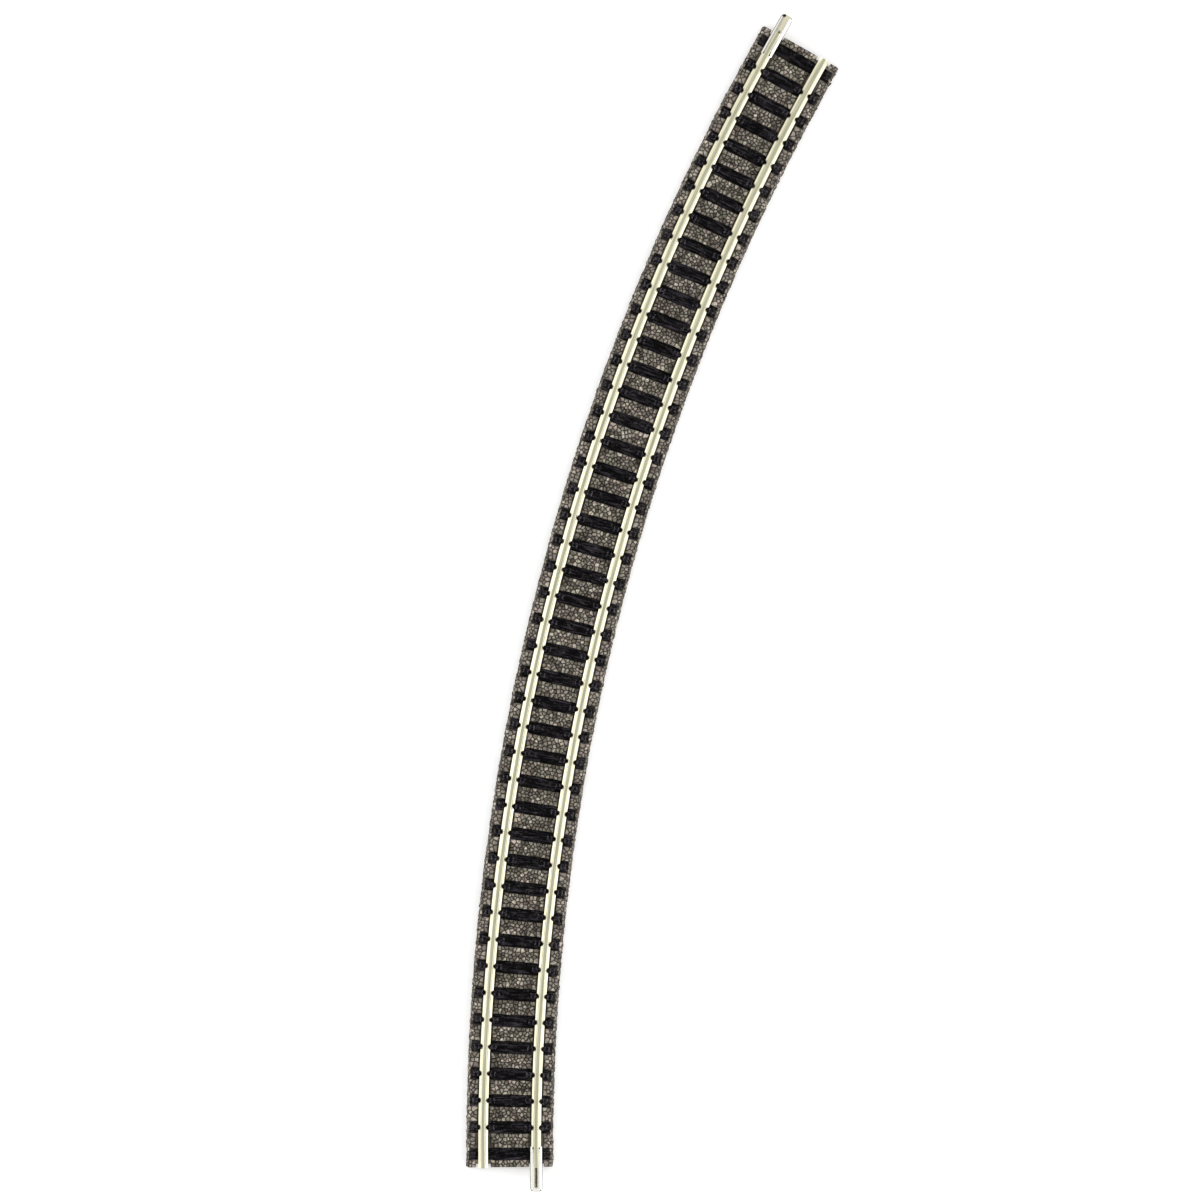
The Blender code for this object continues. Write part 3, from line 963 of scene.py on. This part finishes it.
def make_sleepers(material):
    """All the sleepers, the first and the last without chairs and cut back for the joiners."""
    chairs = four_chairs()
    recesses = recess_cutter()
    for number in range(SLEEPER_COUNT):
        sleeper = grained_block(number)
        plain = number in (0, SLEEPER_COUNT - 1)
        if not plain:
            combine(sleeper, "UNION", chairs)
        sleeper.data.transform(station(sleeper_angle(number)))
        if plain:
            combine(sleeper, "DIFFERENCE", recesses)
        mesh = sleeper.data
        store_local(mesh, (number + 0.5) * PITCH)
        store(mesh, "batch", np.full(len(mesh.vertices), number * BATCH_STEP))
        smooth_by_angle(mesh, SLEEPER_SHARP_ANGLE)
        give(sleeper, material, "track", "sleeper", f"sleeper_{number + 1:02d}")
    remove(chairs, recesses)


# ---- rails


def rail_outline(centre):
    """The rail's section: a flat foot, a web with fillets and a head with a rounded crown."""
    head_bottom = RAIL_TOP - RAIL_HEAD_DEPTH
    half = [
        (RAIL_FOOT, RAIL_BOTTOM),
        (RAIL_FOOT, RAIL_BOTTOM + RAIL_FOOT_EDGE),
        (RAIL_WEB, RAIL_BOTTOM + RAIL_FOOT_EDGE + RAIL_FOOT_RISE),
        (RAIL_WEB, head_bottom - RAIL_HEAD_FLARE),
        (RAIL_HEAD, head_bottom),
        (RAIL_HEAD, RAIL_TOP),
    ]
    edge = RAIL_ROUNDING
    radii = [edge, edge, 2 * edge, 2 * edge, edge, RAIL_CROWN_ROUNDING]
    outline = rounded(mirrored(half), radii + radii[::-1])
    return np.array([(centre + x, z) for x, z in outline])


def rail_rings(outline):
    """Copies of the rail's section along the arc, a little smaller at the two filed ends."""
    stops = [(0, RAIL_END_SCALE), (RAIL_BURR, 1)]
    stops += [(along, 1) for along in np.linspace(0, TRACK_LENGTH, RAIL_STEPS + 1)[1:-1]]
    stops += [(TRACK_LENGTH - RAIL_BURR, 1), (TRACK_LENGTH, RAIL_END_SCALE)]
    middle = outline.mean(axis=0)
    rings = []
    for along, scale in stops:
        ring = middle + (outline - middle) * scale
        rings.append(wrap(np.full(len(ring), along), *ring.T))
    return rings


def make_rail(name, side, material):
    rings = rail_rings(rail_outline(side * RAIL_OFFSET))
    rail = new_object(f"drawn_{name}", tube(name, rings))
    store_local(rail.data, 0, side * RAIL_OFFSET, RAIL_BOTTOM)
    smooth_by_angle(rail.data, RAIL_SHARP_ANGLE)
    give(rail, material, "track", "rail", name)


# ---- joiners


def joiner_outline():
    """The folded sheet seen along the rail, with z from the underside of the rail foot."""
    outside = JOINER_INSIDE + JOINER_SHEET
    edge = foot_top(JOINER_INSIDE) - RAIL_BOTTOM + 2 * FIT_GAP
    inner = foot_top(JOINER_SLOT) - RAIL_BOTTOM + 2 * FIT_GAP
    floor = [JOINER_SLOT * share for share in JOINER_FLOOR_LANES]
    right = [(x, -FIT_GAP - JOINER_SHEET) for x in floor]
    right += [
        (outside, -FIT_GAP - JOINER_SHEET),
        (outside, edge + JOINER_SHEET),
        (JOINER_SLOT, inner + JOINER_SHEET),
        (JOINER_SLOT, inner),
        (JOINER_INSIDE, edge),
        (JOINER_INSIDE, -FIT_GAP),
    ]
    right += [(x, -FIT_GAP) for x in reversed(floor)]
    tight, wide = JOINER_BEND / 3, JOINER_BEND + JOINER_SHEET / 2
    flat = [0] * len(floor)
    radii = [*flat, wide, JOINER_LIP_BEND_SHARE * wide, tight, tight, tight, tight, *flat]
    return rounded(mirrored(right), radii + radii[::-1])


def corner_cut(past, radius):
    """How far a rounded corner falls back at a distance past its start."""
    share = min(max(past / radius, 0), 1)
    return radius * (1 - math.sqrt(1 - share * share))


def mouth_cut(x, z):
    """How far the mouth's edge falls back at a point of the joiner's outline."""
    outside = JOINER_INSIDE + JOINER_SHEET
    cut = corner_cut(abs(x) - outside + JOINER_FLOOR_CORNER, JOINER_FLOOR_CORNER)
    if z > 0:
        lip = corner_cut(JOINER_SLOT + JOINER_LIP_CORNER - abs(x), JOINER_LIP_CORNER)
        cut = max(cut, JOINER_LIP_SETBACK + lip)
    return cut


def joiner_mesh(back, mouth):
    """The folded sheet along y, with its mouth's corners rounded off."""
    outline = joiner_outline()
    rings = []
    for share in JOINER_ROWS:
        rings.append([(x, back + share * (mouth - mouth_cut(x, z) - back), z) for x, z in outline])
    return tube("folded_sheet", rings)


def joiner_pits(back):
    """The marks pierced at the lips' inner ends and the floor's dimple: (x, y, z, radius)."""
    relief_x = JOINER_SLOT + JOINER_RELIEF_INSET * JOINER_RELIEF
    relief_z = foot_top(relief_x) - RAIL_BOTTOM + 2 * FIT_GAP + JOINER_SHEET / 2
    relief_y = back + JOINER_RELIEF_PLACE
    pits = [(side * relief_x, relief_y, relief_z, JOINER_RELIEF) for side in (-1, 1)]
    return [*pits, (0, JOINER_DIMPLE_PLACE, -FIT_GAP - JOINER_SHEET / 2, JOINER_DIMPLE)]


def pit_cutter(pits):
    """A round pin for each pit, with its lower end halfway through the sheet."""
    bm = bmesh.new()
    for x, y, z, radius in pits:
        bmesh.ops.create_cone(
            bm,
            cap_ends=True,
            segments=20,
            radius1=radius,
            radius2=radius,
            depth=JOINER_SHEET,
            matrix=Matrix.Translation((x, y, z + JOINER_SHEET / 2)),
        )
    return new_object("joiner_pits", mesh_from(bm, "joiner_pits"))


def in_pit(corners, pits):
    """Whether all of a face's corners lie inside one of the pits, seen from above."""
    for x, y, _, radius in pits:
        reach = PIT_TOLERANCE * radius
        if all(math.hypot(corner.x - x, corner.y - y) < reach for corner in corners):
            return True
    return False


def pierced_joiner(name, back, mouth):
    """The folded sheet with its pits cut, and the two pierced marks stored for the material, which paints their
    floors dark as shade.
    """
    joiner = new_object(name, joiner_mesh(back, mouth))
    pits = joiner_pits(back)
    cutter = pit_cutter(pits)
    combine(joiner, "DIFFERENCE", cutter)
    remove(cutter)
    mesh = joiner.data
    places = [vert.co for vert in mesh.vertices]
    corners = [[places[index] for index in face.vertices] for face in mesh.polygons]
    store(mesh, "pit", [in_pit(face_corners, pits[:2]) for face_corners in corners], "FACE")
    store(mesh, "local", read_vectors(mesh.vertices, "co") / MM)
    smooth_by_angle(mesh, JOINER_SHARP_ANGLE)
    return joiner


def joiner_length(end_name, outward):
    """The length of the CAD joiner along its slide."""
    verts = frame["nodes"][f"rail_joiner_{end_name}"].data.vertices
    places = [vert.co.dot(outward) for vert in verts]
    return max(places) - min(places)


def make_joiner(end_name, end, side):
    """A joiner in the place that its slide joint and its mouth mount give."""
    joint = next(j for j in frame["joints"] if j["name"] == f"{end_name}_joiner_slide")
    outward = Vector(joint["axis"]).normalized()
    rail_end = station(end * FAR_ANGLE) @ Vector((side * RAIL_OFFSET, 0, RAIL_BOTTOM))
    mouth = (mount(f"{end_name}_joiner_mouth")[0] - rail_end).dot(outward)
    back = mouth - joiner_length(end_name, outward)
    joiner = pierced_joiner(f"folded_joiner_{end_name}", back, mouth)
    turn = outward.to_2d().angle_signed(Vector((0, 1)))
    joiner.data.transform(Matrix.Translation(rail_end) @ Matrix.Rotation(turn, 4, "Z"))
    material = joiner_material(end_name, back / MM, mouth / MM)
    give(joiner, material, f"{end_name}_joiner", "joiner", f"rail_joiner_{end_name}")


# ---- materials


def with_alpha(value):
    """A colour made opaque. Any other value is left as it is."""
    return (*value, 1) if isinstance(value, tuple) else value


class Nodes:
    """A node tree, built by adding one node at a time."""

    def __init__(self, tree):
        self.tree = tree

    def link(self, value, socket):
        if isinstance(value, bpy.types.NodeSocket):
            self.tree.links.new(value, socket)
        else:
            socket.default_value = value

    def add(self, kind, inputs=None, output=0, **settings):
        """Adds a node, sets it up and returns one of its outputs."""
        node = self.tree.nodes.new(f"ShaderNode{kind}")
        for key, value in settings.items():
            setattr(node, key, value)
        for key, value in (inputs or {}).items():
            self.link(value, node.inputs[key])
        return node.outputs[output]

    def axes(self, vector):
        """The x, y and z of a vector."""
        return tuple(self.add("SeparateXYZ", {"Vector": vector}).node.outputs)


class Shader(Nodes):
    """A material's nodes. Places on the piece are in millimetres."""

    def __init__(self, name):
        self.material = bpy.data.materials.new(name)
        self.material.use_nodes = True
        super().__init__(self.material.node_tree)

    def attribute(self, name, output="Fac"):
        return self.add("Attribute", output=output, attribute_name=name)

    def local(self):
        """The piece's own coordinates."""
        return self.attribute("local", "Vector")

    def upright(self):
        """How far a face looks up, from 0 on a wall to 1 on top."""
        return self.axes(self.add("NewGeometry", output=1))[2]

    def maths(self, operation, *values):
        return self.add("Math", dict(enumerate(values)), operation=operation)

    def times(self, *values):
        return self.maths("MULTIPLY", *values)

    def plus(self, *values):
        return self.maths("ADD", *values)

    def minus(self, *values):
        return self.maths("SUBTRACT", *values)

    def noise(self, vector, scale, detail, factors=None):
        """A noise of so many features per millimetre, times a factor along each axis."""
        if factors:
            vector = self.add("Mapping", {"Vector": vector, "Scale": factors})
        inputs = {"Vector": vector, "Scale": scale, "Detail": detail}
        return self.add("TexNoise", {**inputs, "Roughness": NOISE_ROUGHNESS})

    def ramp(self, factor, *stops, span=1):
        """A colour, or a grey level, for each place between 0 and the span."""
        if span != 1:
            factor = self.maths("DIVIDE", factor, span)
        output = self.add("ValToRGB", {"Fac": factor})
        elements = output.node.color_ramp.elements
        while len(elements) < len(stops):
            elements.new(0.5)
        for element, (place, colour) in zip(elements, stops):
            element.position = place / span
            element.color = with_alpha(colour if isinstance(colour, tuple) else (colour,) * 3)
        return output

    def mix(self, factor, first, second, blend="MIX"):
        inputs = {0: factor, 6: with_alpha(first), 7: with_alpha(second)}
        return self.add("Mix", inputs, output=2, data_type="RGBA", blend_type=blend)

    def bump(self, height, distance):
        return self.add("Bump", {"Height": height, "Distance": distance, "Strength": 1.0})

    def finish(self, **inputs):
        """Sets the surface's inputs, written with _ for a space, and returns the material."""
        surface = self.tree.nodes["Principled BSDF"]
        for name, value in inputs.items():
            self.link(with_alpha(value), surface.inputs[name.replace("_", " ")])
        return self.material


def ballast_material():
    """Moulded stones in warm greys: a tone for each, paler towards the bed's outer edges, and painted shade in the
    gaps between them.
    """
    shader = Shader("moulded_ballast_stone")
    place = shader.local()
    coarse = shader.noise(place, 2.2, 4)
    flecks = shader.noise(place, 3.6, 1)
    specks = shader.noise(place, 14, 2)
    colour = shader.ramp(shader.attribute("tone"), *STONE_TONES)
    for share, pattern, low, high in (
        (0.5, coarse, (0.3, 0.10), (0.7, 0.40)),
        (0.8, flecks, (0.38, 0.2), (0.62, 0.8)),
        (0.6, specks, (0.3, 0.35), (0.7, 0.68)),
    ):
        colour = shader.mix(share, colour, shader.ramp(pattern, low, high), "OVERLAY")
    tint = shader.ramp(shader.noise(place, 0.4, 2), *STONE_TINTS)
    colour = shader.mix(1.0, colour, tint, "MULTIPLY")
    across = shader.maths("ABSOLUTE", shader.axes(place)[1])
    # Paler and pinker on the bed's top outside the rails, fading out at the crest's edge.
    outer_pale = shader.ramp(across, (5.0, 0.0), (5.6, 1.0), (7.4, 1.0), (7.9, 0.0), span=10)
    colour = shader.mix(shader.times(outer_pale, STONE_OUTER_PALE_SHARE), colour, STONE_OUTER_PALE)
    # Painted shade: the stones darken towards the crevices between them.
    painted_crevice_shade = shader.ramp(shader.attribute("painted_crevice_shade"), (0.0, 0.05), (0.3, 0.35), (0.9, 1.0))
    colour = shader.mix(1.0, colour, painted_crevice_shade, "MULTIPLY")
    colour = shader.mix(shader.attribute("bare"), colour, BARE_MOULDING)
    colour = shader.mix(shader.attribute("end"), colour, shader.ramp(coarse, *BED_END_TONES))
    height = shader.plus(shader.plus(shader.times(coarse, 0.6), specks), flecks)
    return shader.finish(
        Base_Color=colour,
        Roughness=shader.ramp(specks, (0.3, 0.72), (0.7, 0.92)),
        Specular_IOR_Level=0.25,
        Normal=shader.bump(height, STONE_RELIEF),
    )


def sleeper_material():
    """Black moulded plastic with wood grain along the sleeper, a faint violet tint, painted highlights on the
    chairs' raised slopes and dust at the ends.
    """
    shader = Shader("moulded_sleeper_plastic")
    base = shader.local()
    _, across, height = shader.axes(base)
    shift = shader.add("CombineXYZ", {"Y": shader.attribute("batch")})
    moved = shader.add("VectorMath", {0: base, 1: shift}, operation="ADD")
    streaks = shader.noise(moved, 1.5, 3, (1.9, 0.16, 1.9))
    fibres = shader.noise(moved, 1.8, 2, (6, 0.5, 6))
    dust = shader.noise(moved, 1.7, 4, (1.5, 0.3, 1.5))
    scuffs = shader.ramp(shader.noise(moved, 3.0, 1), (0.42, 0.0), (0.62, 1.0))
    # Painted highlights: the chairs' raised slopes are lightened in scuffed patches.
    slope = shader.ramp(shader.upright(), (0.3, 0.0), (0.55, 1.0), (0.85, 1.0), (0.95, 0.0))
    raised = shader.maths("GREATER_THAN", height, (SLEEPER_TOP + FIT_GAP) / MM)
    painted_light = shader.times(slope, shader.times(raised, scuffs))
    colour = shader.mix(painted_light, shader.ramp(streaks, *SLEEPER_TONES), CHAIR_PAINTED_HIGHLIGHT)
    ends = shader.ramp(shader.maths("ABSOLUTE", across), (6.0, 0.0), (7.2, 0.13), span=10)
    settled = shader.ramp(shader.plus(dust, ends), (0.48, 0.0), (0.75, 0.8))
    return shader.finish(
        Base_Color=shader.mix(shader.times(settled, scuffs), colour, SLEEPER_DUST),
        Roughness=shader.ramp(fibres, (0.3, 0.42), (0.7, 0.62)),
        Specular_IOR_Level=0.05,
        Normal=shader.bump(shader.plus(streaks, shader.times(fibres, 0.6)), PLASTIC_RELIEF),
    )


def rail_material():
    """Drawn nickel silver: lines along the rail, a duller band painted on its head as a dark reflection, some
    tarnish.
    """
    shader = Shader("drawn_nickel_silver")
    place = shader.local()
    _, across, height = shader.axes(place)
    lines = shader.noise(place, 2.5, 4, (0.05, 7, 7))
    tarnish = shader.noise(place, 1.1, 4, (0.35, 1.2, 1.2))
    scuffs = shader.noise(place, 3.0, 3, (3, 0.8, 0.8))
    ragged = shader.times(shader.minus(lines, 0.5), 0.16)
    edge = shader.plus(shader.maths("ABSOLUTE", across), ragged)
    on_head = shader.maths("GREATER_THAN", height, 1.9)
    # Painted reflection: a darker band along the head's top, where the metal would mirror the dark overhead.
    painted_reflection_band = shader.times(shader.ramp(edge, (0.24, 1.0), (0.38, 0.0)), on_head)
    dulled = shader.ramp(tarnish, (0.4, 0.0), (0.8, 0.5))
    bright = shader.mix(dulled, RAIL_BRIGHT, RAIL_TARNISHED)
    drawn = shader.ramp(lines, (0.38, 0.0), (0.62, 1.0))
    painted_light = shader.mix(drawn, RAIL_REFLECTION_DARK, RAIL_REFLECTION_PALE)
    scuffed = shader.maths("MULTIPLY_ADD", scuffs, 0.12, 0.16)
    return shader.finish(
        Base_Color=shader.mix(painted_reflection_band, bright, painted_light),
        Metallic=1.0,
        Roughness=shader.maths("MULTIPLY_ADD", lines, 0.18, scuffed),
        Normal=shader.bump(lines, DRAWN_RELIEF),
    )


def painted_mouth_shade(shader, place, mouth, shade_spots):
    """Where the painted shade spots at the corners of a joiner's mouth are."""
    flat = shader.add("Mapping", {"Vector": place, "Scale": (1, 1, 0)})
    ragged = shader.times(shader.noise(flat, 3.0, 2), 0.2)
    shade_spot_mask = 0.0
    for across, behind, radius in shade_spots:
        ends = {0: flat, 1: (across, mouth - behind, 0)}
        distance = shader.add("VectorMath", ends, output=1, operation="DISTANCE")
        spot = shader.ramp(shader.plus(distance, ragged), (radius, 1.0), (radius + 0.12, 0.0))
        shade_spot_mask = shader.maths("MAXIMUM", shade_spot_mask, spot)
    return shade_spot_mask


def joiner_floor(shader, place, mouth, look):
    """The floor's yellower metal, brighter at the mouth and with a painted shadow strip down its middle."""
    x, along, _ = shader.axes(place)
    bright = look["bright_mouth"]
    nose = shader.ramp(shader.minus(mouth, along), (bright, 1.0), (bright + 0.15, 0.0))
    plain = shader.mix(nose, JOINER_FLOOR, JOINER_FLOOR_BRIGHT)
    wander = shader.times(shader.noise(place, 1.6, 3, (1.5, 0.5, 1)), 0.3)
    middle = shader.plus(shader.maths("ABSOLUTE", x), wander)
    # Painted shadow in the channel: a dark strip down the floor's middle.
    painted_shadow_strip = shader.ramp(middle, (0.26, 1.0), (0.46, 0.0))
    length = shader.ramp(shader.minus(along, look["shade_end"]), (0.0, 1.0), (0.5, 0.0))
    return shader.mix(shader.times(painted_shadow_strip, length), plain, JOINER_FLOOR_SHADOW)


def painted_edge_shadows(shader, place, back):
    """Where painted shadow runs in dark dashes along the lips' edges, near the joiner's back."""
    x, along, _ = shader.axes(place)
    across = shader.maths("ABSOLUTE", x)
    beside = shader.ramp(across, (0.42, 0.0), (0.47, 1.0), (0.58, 1.0), (0.63, 0.0))
    tail = shader.ramp(shader.minus(along, back + 0.4), (0.5, 1.0), (1.0, 0.0))
    dashes = shader.ramp(shader.noise(place, 1.8, 1, (1, 2.5, 1)), (0.46, 0.0), (0.54, 0.9))
    return shader.times(shader.times(beside, tail), dashes)


def joiner_material(end_name, back, mouth):
    """Bright plated sheet with fine scratches, painted dark reflections on its bends, and painted shade and shadow
    on its lips, pits and mouth.
    """
    shader = Shader(f"plated_sheet_{end_name}")
    look = JOINER_LOOKS[end_name]
    place = shader.local()
    x, _, height = shader.axes(place)
    left = shader.plus(x, 1.3)
    # Painted shade along the left lip, as much as the look gives.
    painted_lip_shade = shader.ramp(left, (0.38, 0.0), (0.6, 1.0), (0.75, 1.0), (0.95, 0.0))
    lips = shader.mix(shader.times(painted_lip_shade, look["lip_shade"]), JOINER_LIPS, JOINER_LIP_SHADE)
    low = shader.ramp(height, (0.0, 1.0), (0.12, 0.0))
    colour = shader.mix(low, lips, joiner_floor(shader, place, mouth, look))
    blotches = shader.ramp(shader.noise(place, 1.4, 3), (0.5, 0.0), (0.9, 0.4))
    colour = shader.mix(blotches, colour, JOINER_BLOTCH)
    upright = shader.upright()
    # Painted dark reflection on the bends.
    bend = shader.ramp(upright, (0.10, 0.0), (0.3, 1.0), (0.75, 1.0), (0.94, 0.0))
    colour = shader.mix(bend, colour, JOINER_BEND_REFLECTION)
    # Painted shadow along the lips' edges, under the rail head's edges.
    colour = shader.mix(painted_edge_shadows(shader, place, back), colour, JOINER_EDGE_SHADOW)
    on_top = shader.maths("GREATER_THAN", upright, 0.1)
    corners = shader.times(painted_mouth_shade(shader, place, mouth, look["shade_spots"]), on_top)
    # Painted shade: the relief pits' floors and spots at the mouth's corners are dark.
    painted_shade_mask = shader.maths("MAXIMUM", shader.attribute("pit"), corners)
    scratches = shader.noise(place, 2.0, 4, (9, 0.6, 9))
    return shader.finish(
        Base_Color=shader.mix(painted_shade_mask, colour, JOINER_PAINTED_SHADE),
        Metallic=1.0,
        Roughness=shader.maths("MULTIPLY_ADD", scratches, 0.22, 0.10),
        Normal=shader.bump(scratches, SCRATCH_RELIEF),
    )


# ---- floor, light and camera


def make_floor():
    bm = bmesh.new()
    bmesh.ops.create_grid(bm, x_segments=1, y_segments=1, size=FLOOR_SIZE / 2)
    floor = new_object("floor", mesh_from(bm, "floor"))
    floor.location.z = cad_bounds[0].z - FLOOR_GAP
    shader = Shader("pale_floor")
    grains = shader.add("TexNoise", {"Scale": FLOOR_GRAIN, "Detail": 2.0})
    surface = shader.finish(
        Base_Color=shader.ramp(grains, (0.0, 0.93), (1.0, 0.96)),
        Roughness=0.9,
        Emission_Color=(1.0, 1.0, 1.0),
        Emission_Strength=FLOOR_GLOW,
    )
    floor.data.materials.append(surface)


def make_world():
    """A white studio: bright above, dimmer at the horizon, and plain white behind the object."""
    world = bpy.data.worlds.new("studio")
    bpy.context.scene.world = world
    world.use_nodes = True
    nodes = Nodes(world.node_tree)
    inputs = {
        "Value": nodes.axes(nodes.add("TexCoord"))[2],
        "From Min": HORIZON_HEIGHT,
        "From Max": SKY_HEIGHT,
        "To Min": HORIZON_GLOW,
        "To Max": SKY_GLOW,
    }
    glow = nodes.add("MapRange", inputs)
    seen = nodes.add("LightPath", output="Is Camera Ray")
    background = nodes.tree.nodes["Background"]
    nodes.link((1, 1, 1, 1), background.inputs["Color"])
    strength = nodes.add("Mix", {"Factor": seen, "A": glow, "B": 1.0})
    nodes.link(strength, background.inputs["Strength"])


def make_lights():
    """Rectangles of light that look at the origin."""
    for name, place, power, colour in LIGHTS:
        data = bpy.data.lights.new(name, "AREA")
        data.shape = "RECTANGLE"
        data.size, data.size_y = LIGHT_SIZE
        data.energy = power
        data.color = colour
        light = new_object(name, data)
        light.location = place
        light.rotation_euler = (-Vector(place)).to_track_quat("-Z", "Y").to_euler()


def make_camera():
    """Looks straight down, rolled so that the track starts upright and curves to the right."""
    data = bpy.data.cameras.new("camera")
    data.sensor_width = SENSOR
    data.lens = SENSOR * CAMERA_DISTANCE / FRAME_WIDTH
    data.clip_start, data.clip_end = CAMERA_CLIP
    camera = new_object("camera", data)
    bpy.context.scene.camera = camera
    roll = Matrix.Rotation(CAMERA_ROLL, 3, "Z")
    right, up = roll @ Vector((1, 0, 0)), roll @ Vector((0, 1, 0))
    target = right * AIM.x + up * AIM.y + Vector((0, 0, SLEEPER_TOP))
    back = Vector((0, 0, math.cos(CAMERA_TILT))) + up * math.sin(CAMERA_TILT)
    camera.location = target + back * CAMERA_DISTANCE
    top = back.cross(right).normalized()
    camera.rotation_euler = Matrix((right, top, back)).transposed().to_euler()


def set_view():
    settings = bpy.context.scene.view_settings
    settings.view_transform = "Standard"
    settings.look = "None"
    settings.exposure = 0.0


# ---- the whole object


def main():
    make_ballast(ballast_material())
    make_sleepers(sleeper_material())
    nickel = rail_material()
    make_rail("outer_rail", -1, nickel)
    make_rail("inner_rail", 1, nickel)
    make_joiner("start", -1, 1)
    make_joiner("far", 1, -1)
    make_floor()
    make_world()
    make_lights()
    make_camera()
    set_view()


main()
